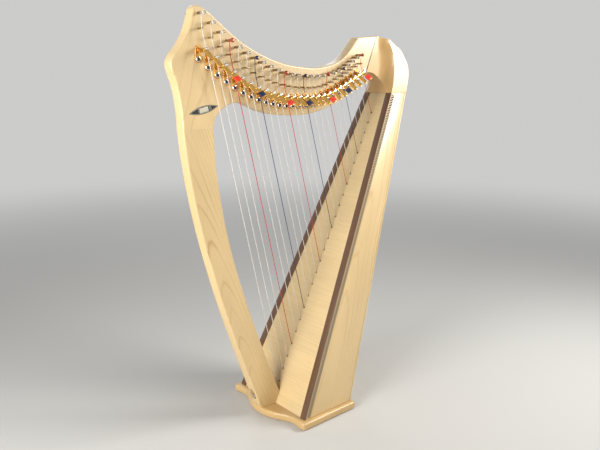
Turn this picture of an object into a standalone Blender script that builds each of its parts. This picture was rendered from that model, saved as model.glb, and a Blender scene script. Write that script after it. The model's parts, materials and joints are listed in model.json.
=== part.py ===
"""A small lever harp with 25 strings, built piece by piece.

Units are metres, +Z is up. The strings stand over the X axis: the pillar is at -X, the soundbox
at +X, and the levers are on the -Y side. The origin lies under the foot of the soundboard, on
the underside of the base and in the middle of its width.
"""
import math

import bmesh
import bpy
import numpy as np
from mathutils import Matrix, Vector

# Play between pieces
GAP = 0.0003
PIN_PLAY = 0.00035

# Base plate
BASE_THICKNESS = 0.0156
BASE_SIDE_MARGIN = 0.010
BASE_BACK_MARGIN = 0.0048
BASE_CORNER_REACH = 0.0115
BASE_WAIST_REACH = 0.009
BASE_BELLY_REACH = 0.034
BASE_BELLY_WIDTH = 0.108
BASE_ROUNDOVER = 0.003

# Soundbox, from its foot on the base up to its seam with the shoulder
SOUNDBOX_RISE = 0.6404
SOUNDBOARD_LEAN = 0.3101
FOOT_DEPTH = 0.1307
FOOT_HALF_WIDTH = 0.1088
SEAM_DEPTH = 0.0498
SEAM_HALF_WIDTH = 0.0398
SIDE_WALL = 0.006
SOUNDBOARD_THICKNESS = 0.003
BACK_THICKNESS = 0.004
STRIP_THICKNESS = 0.002
STRIP_WIDTH = 0.016
FOOT_BLOCK = 0.022
TOP_BLOCK = 0.026

# Sound holes in the back, as height above the base and half height; each is narrower than tall
SOUND_HOLES = [(0.125, 0.036), (0.250, 0.034), (0.370, 0.031), (0.480, 0.027)]
SOUND_HOLE_SLIMNESS = 0.72

# Neck and pillar, one board thick
BOARD_THICKNESS = 0.0246
BOARD_CHAMFER = 0.0016
PILLAR_FOOT_WIDTH = 0.0355
PILLAR_FOOT_SPLAY = 0.377
PILLAR_TOP_SPLAY = 0.08
PILLAR_TOE = 0.015
PILLAR_NOTCH_HEIGHT = 0.0245
PILLAR_JOINT_WIDTH = 0.0625
BOLT_BORE_RADIUS = 0.0085
BOLT_BORE_DEPTH = 0.019
BOLT_HEAD_RADIUS = 0.0065
BOLT_HEAD_LENGTH = 0.006
BOLT_HEIGHT = 0.0335
BOLT_SLOPE = math.radians(30)

# Shoulder: the scoop under it and the cove on each cheek
SCOOP_RADIUS = 0.044
SCOOP_REACH = math.radians(100.5)
COVE_RADIUS = 0.035

# Strings
STRINGS = 25
FIRST_HOLE = 0.0445
HOLE_STEP_BASS = 0.028
HOLE_STEP_TREBLE = 0.0236
STRING_RADIUS_BASS = 0.0007
STRING_RADIUS_TREBLE = 0.00045
STRING_HOLE_RADIUS = 0.0017
STRING_BAR_WIDTH = 0.014
STRING_BAR_THICKNESS = 0.004
STRING_LIFT = 0.0137

# Tuning pins and bridge pins
PIN_STEP_BASS = 0.0192
PIN_STEP_TREBLE = 0.0130
PIN_RADIUS = 0.0024
PIN_REACH = 0.023
KEY_SQUARE = 0.0042
KEY_LENGTH = 0.011
BRIDGE_PIN_RADIUS = 0.0016
BRIDGE_PIN_REACH = 0.017
WINDING_TURNS = 2.0
WINDING_STEPS = 8
WINDING_GAP = 0.0005
WINDING_LIFT = 0.0162

# Levers
LEVER_DROP_BASS = 0.0345
LEVER_DROP_TREBLE = 0.0180
LAST_BASS_DROP = 13
PLATE_THICKNESS = 0.0012
PLATE_EMBED = 0.0005
SCREW_END_RADIUS = 0.0066
PLATE_END_RADIUS = 0.0052
SCREW_OFFSET = Vector((-0.0128, 0, -0.0145))
PLATE_END_OFFSET = Vector((-0.0080, 0, 0.0035))
EAR_OFFSET = -0.0114
EAR_THICKNESS = 0.0012
EAR_HALF_WIDTH = 0.0060
EAR_TIP_RADIUS = 0.0032
PIVOT_LIFT = 0.0170
PIVOT_RADIUS = 0.0013
HUB_RADIUS = 0.0022
ARM_LENGTH = 0.0220
ARM_WIDTH = 0.0095
ARM_THICKNESS = 0.0016
ARM_SLOPE = math.radians(43)
LEVER_THROW = math.radians(95)
CAM_WIDTH = 0.0025
CAM_TIP_RADIUS = 0.0014

# Side outlines, as (x, z) measured from the seam, where the soundboard meets the shoulder
NECK_FRONT = [
    (-0.5061, -0.031), (-0.5124, 0.012), (-0.5210, 0.039), (-0.5260, 0.056), (-0.5190, 0.068),
    (-0.5053, 0.084), (-0.490, 0.107), (-0.4805, 0.132), (-0.476, 0.146),
]
NECK_TOP = [
    (-0.470, 0.1515), (-0.453, 0.1458), (-0.426, 0.1272), (-0.390, 0.102), (-0.352, 0.0818),
    (-0.312, 0.067), (-0.270, 0.0565), (-0.226, 0.052), (-0.189, 0.0515), (-0.145, 0.0602),
    (-0.120, 0.0724), (-0.100, 0.0900), (-0.078, 0.114),
]
NECK_UNDERSIDE = [
    (-0.079, 0.014), (-0.108, -0.005), (-0.159, -0.026), (-0.198, -0.036), (-0.226, -0.0395),
    (-0.270, -0.040), (-0.313, -0.0355), (-0.339, -0.029), (-0.363, -0.019), (-0.384, -0.013),
    (-0.400, -0.0135), (-0.415, -0.019), (-0.429, -0.028), (-0.438, -0.040),
]
SHOULDER_JOINT_TOP = (-0.021, 0.1195)
SHOULDER_BACK = [
    (0.000, 0.1135), (0.0215, 0.101), (0.039, 0.0905), (0.0505, 0.0745), (0.0595, 0.059),
    (0.0612, 0.041), (0.0560, 0.019),
]
COVE_LINE = [(-0.036, -0.016), (-0.024, 0.044), (-0.0205, 0.086), (-0.0195, 0.144)]
PILLAR_TOP_FRONT = (-0.5055, -0.056)
TUNING_PIN_LINE = [
    (-0.468, 0.138), (-0.411, 0.095), (-0.354, 0.0655), (-0.292, 0.042), (-0.226, 0.035),
    (-0.182, 0.0375), (-0.139, 0.0485), (-0.085, 0.078),
]
BRIDGE_PIN_LINE = [
    (-0.468, 0.113), (-0.411, 0.071), (-0.356, 0.040), (-0.288, 0.0185), (-0.223, 0.013),
    (-0.181, 0.0175), (-0.139, 0.0335), (-0.081, 0.061),
]

SEAM = Vector((SOUNDBOARD_LEAN, 0, BASE_THICKNESS + SOUNDBOX_RISE))
NEAR_FACE = -BOARD_THICKNESS / 2


def clear_scene():
    """Start from an empty scene."""
    for old in list(bpy.data.objects):
        bpy.data.objects.remove(old, do_unlink=True)


def collection(name):
    """A new collection in the scene."""
    made = bpy.data.collections.new(name)
    bpy.context.scene.collection.children.link(made)
    return made


def material(name, color, roughness, metallic=0.0):
    """One Principled material."""
    made = bpy.data.materials.new(name)
    made.use_nodes = True
    shader = made.node_tree.nodes["Principled BSDF"]
    shader.inputs["Base Color"].default_value = (*color, 1.0)
    shader.inputs["Roughness"].default_value = roughness
    shader.inputs["Metallic"].default_value = metallic
    return made


def add_piece(name, mesh, finish, location=(0, 0, 0), turn=0.0):
    """Place a mesh as one named piece, turned about Y by `turn`."""
    mesh.materials.clear()
    mesh.materials.append(finish)
    piece = bpy.data.objects.new(name, mesh)
    piece.location = location
    piece.rotation_euler = (0, turn, 0)
    harp.objects.link(piece)
    return piece


def mesh_from(bm, name):
    """Turn a bmesh into a mesh and free it."""
    mesh = bpy.data.meshes.new(name)
    bm.normal_update()
    bm.to_mesh(mesh)
    bm.free()
    return mesh


def smooth_path(points, steps=3):
    """Points on a Catmull-Rom curve through the given points."""
    ends = [2 * Vector(points[0]) - Vector(points[1]), 2 * Vector(points[-1]) - Vector(points[-2])]
    knots = [ends[0], *[Vector(p) for p in points], ends[1]]
    path = []
    for a, b, c, d in zip(knots, knots[1:], knots[2:], knots[3:]):
        for step in range(steps):
            t = step / steps
            path.append(0.5 * (2 * b + (c - a) * t + (2 * a - 5 * b + 4 * c - d) * t * t
                               + (3 * b - a - 3 * c + d) * t ** 3))
    path.append(knots[-2])
    return path


def bezier(start, start_handle, end_handle, end, steps):
    """Points on a cubic from start to end, without its end point."""
    path = []
    for step in range(steps):
        t = step / steps
        path.append((1 - t) ** 3 * start + 3 * t * (1 - t) ** 2 * start_handle
                    + 3 * t * t * (1 - t) * end_handle + t ** 3 * end)
    return path


def from_seam(points):
    """Side outline points measured from the seam, as real (x, z) places."""
    return [Vector((SEAM.x + x, SEAM.z + z)) for x, z in points]


def height_on(line, x):
    """Height of a pin line at x."""
    path = smooth_path(from_seam(line), 8)
    return float(np.interp(x, [p[0] for p in path], [p[1] for p in path]))


def baked(source):
    """The evaluated mesh of a curve object in world space, welded shut; the curve is removed."""
    source_collection.objects.link(source)
    graph = bpy.context.evaluated_depsgraph_get()
    mesh = bpy.data.meshes.new_from_object(source.evaluated_get(graph))
    mesh.transform(source.matrix_world)
    bm = bmesh.new()
    bm.from_mesh(mesh)
    bmesh.ops.remove_doubles(bm, verts=bm.verts, dist=1e-6)
    bmesh.ops.recalc_face_normals(bm, faces=bm.faces)
    bm.to_mesh(mesh)
    bm.free()
    bpy.data.objects.remove(source, do_unlink=True)
    return mesh


def side_plate(name, outline, thickness, roundover=0.0, steps=0, centre=0.0, grow=False):
    """A plate with a side outline in X and Z, `thickness` wide in Y, with worked edges."""
    curve = bpy.data.curves.new(name, "CURVE")
    curve.dimensions = "2D"
    curve.fill_mode = "BOTH"
    curve.extrude = thickness / 2 - roundover
    curve.bevel_depth = roundover
    curve.bevel_resolution = steps
    curve.offset = 0.0 if grow else -roundover
    spline = curve.splines.new("POLY")
    spline.points.add(len(outline) - 1)
    for point, place in zip(spline.points, outline):
        point.co = (place[0], place[1], 0, 1)
    spline.use_cyclic_u = True
    source = bpy.data.objects.new(name, curve)
    source.matrix_world = Matrix.Translation((0, centre, 0)) @ Matrix.Rotation(math.pi / 2, 4, "X")
    return baked(source)


def wire(name, points, radius):
    """A round wire along points, six-sided, with closed ends."""
    curve = bpy.data.curves.new(name, "CURVE")
    curve.dimensions = "3D"
    curve.bevel_depth = radius
    curve.bevel_resolution = 1
    curve.use_fill_caps = True
    spline = curve.splines.new("POLY")
    spline.points.add(len(points) - 1)
    for point, place in zip(spline.points, points):
        point.co = (*place, 1)
    return baked(bpy.data.objects.new(name, curve))


def rod(bm, start, end, radius, sides=8):
    """Add a straight round rod to a bmesh."""
    start = Vector(start)
    end = Vector(end)
    along = end - start
    place = Matrix.Translation((start + end) / 2) @ along.to_track_quat("Z", "Y").to_matrix().to_4x4()
    bmesh.ops.create_cone(bm, cap_ends=True, segments=sides, radius1=radius, radius2=radius,
                          depth=along.length, matrix=place)


def block(bm, low, high):
    """Add a box to a bmesh, from its low corner to its high corner."""
    low = Vector(low)
    high = Vector(high)
    size = high - low
    place = Matrix.Translation((low + high) / 2) @ Matrix.Diagonal((*size, 1))
    bmesh.ops.create_cube(bm, size=1.0, matrix=place)


def prism(bm, outline, axis_low, axis_high):
    """Add a prism to a bmesh: a convex outline in Y and Z, swept along X."""
    ring = [bm.verts.new((axis_low, y, z)) for y, z in outline]
    face = bm.faces.new(ring)
    swept = bmesh.ops.extrude_face_region(bm, geom=[face])
    tops = [item for item in swept["geom"] if isinstance(item, bmesh.types.BMVert)]
    bmesh.ops.translate(bm, verts=tops, vec=(axis_high - axis_low, 0, 0))
    bmesh.ops.recalc_face_normals(bm, faces=bm.faces)


def slab(bm, outline, y_low, y_high):
    """Add a flat slab to a bmesh: a convex outline in X and Z, swept along Y."""
    ring = [bm.verts.new((x, y_low, z)) for x, z in outline]
    face = bm.faces.new(ring)
    swept = bmesh.ops.extrude_face_region(bm, geom=[face])
    tops = [item for item in swept["geom"] if isinstance(item, bmesh.types.BMVert)]
    bmesh.ops.translate(bm, verts=tops, vec=(0, y_high - y_low, 0))
    bmesh.ops.recalc_face_normals(bm, faces=bm.faces)


def tapered(bm, low_section, high_section, low_z, high_z):
    """Add a straight-sided loft between two level rectangles, each (x0, x1, y0, y1)."""
    made = bmesh.ops.create_cube(bm, size=2.0)
    for vert in made["verts"]:
        x0, x1, y0, y1 = high_section if vert.co.z > 0 else low_section
        vert.co = (x1 if vert.co.x > 0 else x0, y1 if vert.co.y > 0 else y0,
                   high_z if vert.co.z > 0 else low_z)


def combine(mesh, other, operation, own_overlaps=False):
    """Boolean of two meshes as a new mesh. `own_overlaps` lets pieces inside one mesh cross."""
    target = bpy.data.objects.new("target", mesh)
    tool = bpy.data.objects.new("tool", other)
    for item in (target, tool):
        source_collection.objects.link(item)
    cut = target.modifiers.new("cut", "BOOLEAN")
    cut.operation = operation
    cut.solver = "EXACT"
    cut.use_self = own_overlaps
    cut.object = tool
    graph = bpy.context.evaluated_depsgraph_get()
    result = bpy.data.meshes.new_from_object(target.evaluated_get(graph))
    for item in (target, tool):
        bpy.data.objects.remove(item, do_unlink=True)
    return result


def moved(mesh, matrix):
    """A copy of a mesh, moved by a matrix."""
    made = mesh.copy()
    made.transform(matrix)
    return made


def joined(meshes, name):
    """Several meshes in one, still as separate shells."""
    bm = bmesh.new()
    for mesh in meshes:
        bm.from_mesh(mesh)
    return mesh_from(bm, name)


def box_section(z, front_inset=0.0, back_inset=0.0, side_inset=0.0):
    """Level section of the soundbox at height z, drawn in by the given insets."""
    rise = (z - BASE_THICKNESS) / SOUNDBOX_RISE
    front = rise * SOUNDBOARD_LEAN
    back = FOOT_DEPTH + rise * (SOUNDBOARD_LEAN + SEAM_DEPTH - FOOT_DEPTH)
    half = FOOT_HALF_WIDTH + rise * (SEAM_HALF_WIDTH - FOOT_HALF_WIDTH)
    return (front + front_inset, back - back_inset, -half + side_inset, half - side_inset)


# A board leaning with the soundboard is thicker along X than square to its face
BOARD_SLANT = math.hypot(SOUNDBOX_RISE, SOUNDBOARD_LEAN) / SOUNDBOX_RISE
STRIP_DEPTH = STRIP_THICKNESS * BOARD_SLANT
SOUNDBOARD_FACE = STRIP_DEPTH
SOUNDBOARD_DEPTH = SOUNDBOARD_THICKNESS * BOARD_SLANT
BOX_FLOOR = BASE_THICKNESS + GAP
BOARD_ALONG = Vector((SOUNDBOARD_LEAN, 0, SOUNDBOX_RISE)).normalized()
BOARD_INWARD = Vector((SOUNDBOX_RISE, 0, -SOUNDBOARD_LEAN)).normalized()
BOARD_FOOT = Vector((SOUNDBOARD_FACE, 0, BASE_THICKNESS))


def spaced(first, step_bass, step_treble, number):
    """Place of string `number` (from 0) where the steps shrink evenly from bass to treble."""
    shrink = (step_bass - step_treble) / (STRINGS - 2)
    return first + number * step_bass - shrink * number * (number - 1) / 2


def share(number, bass, treble):
    """A value that changes evenly from the bass string to the treble string."""
    return bass + (treble - bass) * number / (STRINGS - 1)


class Course:
    """One string's places: its hole, its two pins, and its lever."""

    def __init__(self, number):
        self.radius = share(number, STRING_RADIUS_BASS, STRING_RADIUS_TREBLE)
        along = spaced(FIRST_HOLE, HOLE_STEP_BASS, HOLE_STEP_TREBLE, number)
        self.hole = BOARD_FOOT + BOARD_ALONG * along
        x = spaced(SEAM.x + TUNING_PIN_LINE[0][0], PIN_STEP_BASS, PIN_STEP_TREBLE, number)
        self.pin = Vector((x, 0, height_on(TUNING_PIN_LINE, x)))
        self.bridge = Vector((x, 0, height_on(BRIDGE_PIN_LINE, x)))
        wire_radius = self.radius
        self.coil_radius = (PIN_RADIUS + PIN_PLAY / 2 + wire_radius) / math.cos(math.pi / WINDING_STEPS)
        beside_bridge = BRIDGE_PIN_RADIUS + GAP + self.radius
        beside_pin = self.coil_radius + wire_radius + GAP + self.radius
        self.bend = Vector((x - beside_bridge, NEAR_FACE - STRING_LIFT, self.bridge.z))
        self.start = Vector((x - beside_pin, NEAR_FACE - WINDING_LIFT, self.pin.z))
        line = self.hole - self.bend
        self.turn = math.atan2(line.x, -line.z)
        drop = float(np.interp(number, (0, LAST_BASS_DROP), (LEVER_DROP_BASS, LEVER_DROP_TREBLE)))
        down = Vector((math.sin(self.turn), 0, -math.cos(self.turn)))
        at = Vector((self.bend.x, 0, self.bend.z)) + down * drop
        self.pivot = Vector((at.x, NEAR_FACE - PIVOT_LIFT, at.z))
        string_y = self.bend.y + line.y * drop / math.hypot(line.x, line.z)
        self.cam_reach = string_y - self.radius - GAP - self.pivot.y


COURSES = [Course(number) for number in range(STRINGS)]


def hull_outline(centre_a, radius_a, centre_b, radius_b, steps=5):
    """Outline in X and Z round two circles, such as a lever plate's."""
    across = centre_b - centre_a
    tilt = math.atan2(across.z, across.x)
    open_angle = math.acos((radius_a - radius_b) / math.hypot(across.x, across.z))
    outline = []
    for centre, radius, start, end in (
        (centre_b, radius_b, tilt - open_angle, tilt + open_angle),
        (centre_a, radius_a, tilt + open_angle, tilt + 2 * math.pi - open_angle),
    ):
        for step in range(steps):
            angle = start + (end - start) * step / (steps - 1)
            outline.append((centre.x + radius * math.cos(angle), centre.z + radius * math.sin(angle)))
    return outline


def lever_bracket():
    """The fixed half of a lever: its plate on the neck and the ear that carries the pivot.

    Its origin is the pivot, with X across the string and Z up the string.
    """
    face = PIVOT_LIFT
    bm = bmesh.new()
    slab(bm, hull_outline(SCREW_OFFSET, SCREW_END_RADIUS, PLATE_END_OFFSET, PLATE_END_RADIUS),
         face - PLATE_THICKNESS, face + PLATE_EMBED)
    plate = mesh_from(bm, "lever_plate")
    outline = [(face - PLATE_THICKNESS / 2, -EAR_HALF_WIDTH), (face - PLATE_THICKNESS / 2, EAR_HALF_WIDTH)]
    for step in range(5):
        angle = math.pi * step / 4
        outline.append((-EAR_TIP_RADIUS * math.sin(angle), EAR_TIP_RADIUS * math.cos(angle)))
    bm = bmesh.new()
    prism(bm, outline, EAR_OFFSET - EAR_THICKNESS / 2, EAR_OFFSET + EAR_THICKNESS / 2)
    ear = mesh_from(bm, "lever_ear")
    bm = bmesh.new()
    rod(bm, (EAR_OFFSET - EAR_THICKNESS, 0, 0), (EAR_OFFSET + EAR_THICKNESS, 0, 0),
        PIVOT_RADIUS + PIN_PLAY)
    bore = mesh_from(bm, "pivot_bore")
    return combine(combine(plate, ear, "UNION"), bore, "DIFFERENCE")


def lever_mesh(course):
    """The moving half of a lever: pivot, hub, handle and the cam that meets the string.

    The cam's reach is made to its own string, which it meets from outside at the end of its throw.
    """
    ear_side = EAR_OFFSET + EAR_THICKNESS / 2 + GAP
    arm_end = ear_side + ARM_WIDTH
    bm = bmesh.new()
    rod(bm, (ear_side, 0, 0), (arm_end + CAM_WIDTH / 2, 0, 0), HUB_RADIUS)
    hub = mesh_from(bm, "lever_hub")
    bm = bmesh.new()
    rod(bm, (EAR_OFFSET - EAR_THICKNESS / 2, 0, 0), (ear_side + GAP, 0, 0), PIVOT_RADIUS)
    stub = mesh_from(bm, "lever_pivot")
    bm = bmesh.new()
    corner = ARM_WIDTH * 0.3
    outline = [(ear_side, 0), (arm_end, 0), (arm_end, -ARM_LENGTH + corner),
               (arm_end - corner, -ARM_LENGTH), (ear_side + corner, -ARM_LENGTH),
               (ear_side, -ARM_LENGTH + corner)]
    slab(bm, outline, -ARM_THICKNESS / 2, ARM_THICKNESS / 2)
    bm.transform(Matrix.Rotation(-ARM_SLOPE, 4, "X"))
    arm = mesh_from(bm, "lever_arm")
    bm = bmesh.new()
    tip = Vector((0, 0, course.cam_reach - CAM_TIP_RADIUS))
    round_cam = hull_outline(Vector(), HUB_RADIUS, tip, CAM_TIP_RADIUS, 4)
    prism(bm, [(-x, z) for x, z in round_cam], arm_end - GAP, arm_end + CAM_WIDTH)
    bm.transform(Matrix.Rotation(math.pi / 2 - LEVER_THROW, 4, "X").inverted())
    cam = mesh_from(bm, "lever_cam")
    body = combine(combine(hub, stub, "UNION"), arm, "UNION")
    return combine(body, cam, "UNION")


def coil_points(course):
    """Centre line of a string's winding on its pin, from its lead to its end inside the pin."""
    pitch = 2 * course.radius + WINDING_GAP
    steps = round(WINDING_TURNS * WINDING_STEPS)
    points = []
    for step in range(steps + 1):
        angle = 2 * math.pi * step / WINDING_STEPS
        outward = NEAR_FACE - WINDING_LIFT - pitch * step / WINDING_STEPS
        points.append(Vector((-course.coil_radius * math.cos(angle), outward,
                              course.coil_radius * math.sin(angle))))
    points.append(Vector((points[-1].x * 0.2, points[-1].y, points[-1].z * 0.2)))
    return points


def least_gap(points, radius):
    """Least clear distance between turns of a winding, on points along its centre line."""
    line = []
    for a, b in zip(points, points[1:]):
        line += [a.lerp(b, t / 6) for t in range(6)]
    apart = WINDING_STEPS * 3
    return min((a - b).length for i, a in enumerate(line) for b in line[i + apart:]) - 2 * radius


def tuning_pin_mesh(course, number):
    """A tuning pin through the neck, with its key square at +Y and its string's winding at -Y."""
    shoulder = -NEAR_FACE + GAP
    bm = bmesh.new()
    rod(bm, (0, shoulder + PIN_RADIUS, 0), (0, NEAR_FACE - PIN_REACH, 0), PIN_RADIUS)
    shank = mesh_from(bm, "pin_shank")
    bm = bmesh.new()
    half = KEY_SQUARE / 2
    block(bm, (-half, shoulder, -half), (half, shoulder + PIN_RADIUS + KEY_LENGTH, half))
    square = mesh_from(bm, "pin_square")
    points = coil_points(course)
    if number in (0, STRINGS - 1):
        print("winding", number + 1, "least gap mm", round(1000 * least_gap(points, course.radius), 2))
    coil = wire("winding", points, course.radius)
    return combine(combine(shank, square, "UNION"), coil, "UNION")


def neck_outline():
    """Side outline of the neck, from the pillar joint round the tip to the shoulder joint."""
    front = from_seam([PILLAR_TOP_FRONT] + NECK_FRONT)
    top = from_seam(NECK_TOP)
    underside = from_seam(NECK_UNDERSIDE)
    joint_top = from_seam([SHOULDER_JOINT_TOP])[0]
    joint_inner = front[0] + Vector((PILLAR_JOINT_WIDTH, 0))
    rising = smooth_path(front, 2) + smooth_path(top, 2)
    return rising + [joint_top] + smooth_path([scoop_end()] + underside + [joint_inner], 2)


def scoop_centre():
    """Centre of the scoop's round, level with the seam."""
    return Vector((SEAM.x - SCOOP_RADIUS, SEAM.z))


def scoop_end():
    """Where the scoop meets the neck's underside."""
    return scoop_centre() + SCOOP_RADIUS * Vector((math.cos(SCOOP_REACH), math.sin(SCOOP_REACH)))


def make_neck():
    """The neck board with its pin holes, lever brackets and bridge pins."""
    board = side_plate("neck", neck_outline(), BOARD_THICKNESS, BOARD_CHAMFER)
    bores = bmesh.new()
    added = []
    bracket = lever_bracket()
    for course in COURSES:
        near = (course.pin.x, NEAR_FACE * 1.5, course.pin.z)
        far = (course.pin.x, -NEAR_FACE * 1.5, course.pin.z)
        rod(bores, near, far, (PIN_RADIUS + PIN_PLAY) / math.cos(math.pi / 8))
        place = Matrix.Translation(course.pivot) @ Matrix.Rotation(-course.turn, 4, "Y")
        added.append(moved(bracket, place))
        bm = bmesh.new()
        tip = Vector((course.bridge.x, NEAR_FACE - BRIDGE_PIN_REACH, course.bridge.z))
        rod(bm, tip, (tip.x, NEAR_FACE + PLATE_THICKNESS * 4, tip.z), BRIDGE_PIN_RADIUS)
        added.append(mesh_from(bm, "bridge_pin"))
    board = combine(board, mesh_from(bores, "pin_bores"), "DIFFERENCE")
    board = combine(board, joined(added, "neck_fittings"), "UNION")
    add_piece("neck", board, maple)


def make_levers_and_pins():
    """Every lever and tuning pin, each with its origin on its own axis."""
    for number, course in enumerate(COURSES):
        label = f"{number + 1:02d}"
        add_piece(f"lever_{label}", lever_mesh(course), brass, course.pivot, -course.turn)
        add_piece(f"tuning_pin_{label}", tuning_pin_mesh(course, number), steel, course.pin)


def make_pillar():
    """The bowed pillar, with the bolt that holds its foot in a slanting counterbore."""
    top_front, = from_seam([PILLAR_TOP_FRONT])
    top_back = top_front + Vector((PILLAR_JOINT_WIDTH, 0))
    floor = BOX_FLOOR
    notch = floor + PILLAR_NOTCH_HEIGHT
    notch_x = box_section(notch)[0]
    foot_front = Vector((-PILLAR_FOOT_WIDTH, floor))
    heel = Vector((-GAP / 2, floor))
    slope_gap = STRIP_DEPTH - 1.5 * GAP
    heel_back = Vector((notch_x + slope_gap, notch))
    rise = (top_front.y - floor) / 3
    down = Vector((0, GAP))
    front = bezier(foot_front, foot_front + Vector((-PILLAR_FOOT_SPLAY * rise, rise)),
                   top_front + Vector((PILLAR_TOP_SPLAY * rise, -rise)), top_front - down, 12)
    toe_start = foot_front + Vector((PILLAR_TOE * PILLAR_FOOT_SPLAY, 0))
    toe_end = foot_front + Vector((-PILLAR_TOE * PILLAR_FOOT_SPLAY, PILLAR_TOE))
    toe = [toe_start.lerp(foot_front, t).lerp(foot_front.lerp(toe_end, t), t) for t in (0, 1 / 3, 2 / 3, 1)]
    back = bezier(top_back - down, top_back + Vector((0.012 * rise, -rise)),
                  heel_back + Vector((-0.40 * rise, rise)), heel_back, 12)
    heel.x += slope_gap
    outline = toe + front[1:] + [top_front - down] + back + [heel_back, heel]
    board = side_plate("pillar", outline, BOARD_THICKNESS, BOARD_CHAMFER)
    bore_height = floor + BOLT_HEIGHT
    start = Vector((-PILLAR_FOOT_WIDTH - PILLAR_FOOT_SPLAY * BOLT_HEIGHT, 0, bore_height))
    inward = Vector((math.cos(BOLT_SLOPE), 0, -math.sin(BOLT_SLOPE)))
    bm = bmesh.new()
    rod(bm, start - inward * BOLT_BORE_DEPTH, start + inward * BOLT_BORE_DEPTH, BOLT_BORE_RADIUS, 12)
    board = combine(board, mesh_from(bm, "bolt_bore"), "DIFFERENCE")
    bm = bmesh.new()
    bottom = start + inward * BOLT_BORE_DEPTH
    rod(bm, bottom - inward * BOLT_HEAD_LENGTH, bottom + inward * PLATE_THICKNESS, BOLT_HEAD_RADIUS)
    board = combine(board, mesh_from(bm, "bolt"), "UNION")
    add_piece("pillar", board, maple)


def make_shoulder():
    """The shoulder block: scooped below, tapering in width, with a cove cut into each cheek."""
    centre = scoop_centre()
    scoop = []
    for step in range(9):
        angle = SCOOP_REACH * step / 8
        scoop.append(centre + SCOOP_RADIUS * Vector((math.cos(angle), math.sin(angle))))
    seam_back = Vector((SEAM.x + SEAM_DEPTH, SEAM.z))
    joint_top, = from_seam([SHOULDER_JOINT_TOP])
    shift = Vector((GAP, 0))
    lift = Vector((0, GAP))
    scoop[0] += lift
    scoop[-1] += shift
    over = smooth_path([joint_top + shift] + from_seam(SHOULDER_BACK) + [seam_back + lift], 2)
    outline = scoop + over
    body = side_plate("shoulder", outline, 2 * SEAM_HALF_WIDTH)
    for vert in body.vertices:
        half = box_section(vert.co.z)[3]
        vert.co.y = math.copysign(half, vert.co.y)
    line = from_seam(COVE_LINE)
    far = SEAM_DEPTH * 2
    corners = [line[-1] - Vector((far, 0)), line[0] - Vector((far, 0))]
    for side in (-1, 1):
        centre_y = side * (BOARD_THICKNESS / 2 + 1.1 * COVE_RADIUS)
        cutter = side_plate("cove", line + corners, 2.2 * COVE_RADIUS, COVE_RADIUS, 5, centre_y, True)
        body = combine(body, cutter, "DIFFERENCE")
    add_piece("shoulder", body, maple)


def make_soundbox():
    """The two sides with their foot and top blocks, open at the front and the back."""
    front = SOUNDBOARD_FACE + SOUNDBOARD_DEPTH + GAP
    back = BACK_THICKNESS * BOARD_SLANT + GAP
    bm = bmesh.new()
    tapered(bm, box_section(BOX_FLOOR, front, back), box_section(SEAM.z, front, back), BOX_FLOOR, SEAM.z)
    outside = mesh_from(bm, "soundbox")
    low = BOX_FLOOR + FOOT_BLOCK
    high = SEAM.z - TOP_BLOCK
    bm = bmesh.new()
    tapered(bm, box_section(low, -front, -back, SIDE_WALL), box_section(high, -front, -back, SIDE_WALL),
            low, high)
    add_piece("soundbox", combine(outside, mesh_from(bm, "soundbox_hollow"), "DIFFERENCE"), maple)


def make_soundboard():
    """The soundboard with its row of string holes, and the two strips along its edges."""
    face = SOUNDBOARD_FACE
    rear = SOUNDBOARD_FACE + SOUNDBOARD_DEPTH
    sections = []
    for z in (BOX_FLOOR, SEAM.z):
        x0, _, y0, y1 = box_section(z)
        sections.append((x0 + face, x0 + rear, y0, y1))
    bm = bmesh.new()
    tapered(bm, sections[0], sections[1], BOX_FLOOR, SEAM.z)
    board = mesh_from(bm, "soundboard")
    bm = bmesh.new()
    for course in COURSES:
        reach = BOARD_INWARD * SOUNDBOARD_THICKNESS * 2
        rod(bm, course.hole - reach, course.hole + reach, STRING_HOLE_RADIUS, 6)
    add_piece("soundboard", combine(board, mesh_from(bm, "string_holes"), "DIFFERENCE"), spruce)
    for name, side in (("edge_strip_left", -1), ("edge_strip_right", 1)):
        sections = []
        for z in (BOX_FLOOR, SEAM.z):
            x0, _, _, half = box_section(z)
            inner, outer = sorted((side * half, side * (half - STRIP_WIDTH)))
            sections.append((x0, x0 + STRIP_DEPTH - GAP, inner, outer))
        bm = bmesh.new()
        tapered(bm, sections[0], sections[1], BOX_FLOOR, SEAM.z)
        add_piece(name, mesh_from(bm, name), walnut)


def make_back():
    """The back panel with its sound holes."""
    thick = BACK_THICKNESS * BOARD_SLANT
    sections = []
    for z in (BOX_FLOOR, SEAM.z):
        _, x1, y0, y1 = box_section(z)
        sections.append((x1 - thick, x1, y0, y1))
    bm = bmesh.new()
    tapered(bm, sections[0], sections[1], BOX_FLOOR, SEAM.z)
    panel = mesh_from(bm, "back_panel")
    bm = bmesh.new()
    for height, half_height in SOUND_HOLES:
        x = box_section(BASE_THICKNESS + height)[1]
        oval = bmesh.ops.create_cone(bm, cap_ends=True, segments=16, radius1=half_height,
                                     radius2=half_height, depth=half_height)["verts"]
        slim = Matrix.Diagonal((1, SOUND_HOLE_SLIMNESS, 1, 1))
        place = Matrix.Translation((x, 0, BASE_THICKNESS + height))
        bmesh.ops.transform(bm, verts=oval, matrix=place @ Matrix.Rotation(math.pi / 2, 4, "Y") @ slim)
    add_piece("back_panel", combine(panel, mesh_from(bm, "sound_holes"), "DIFFERENCE"), maple)


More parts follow.
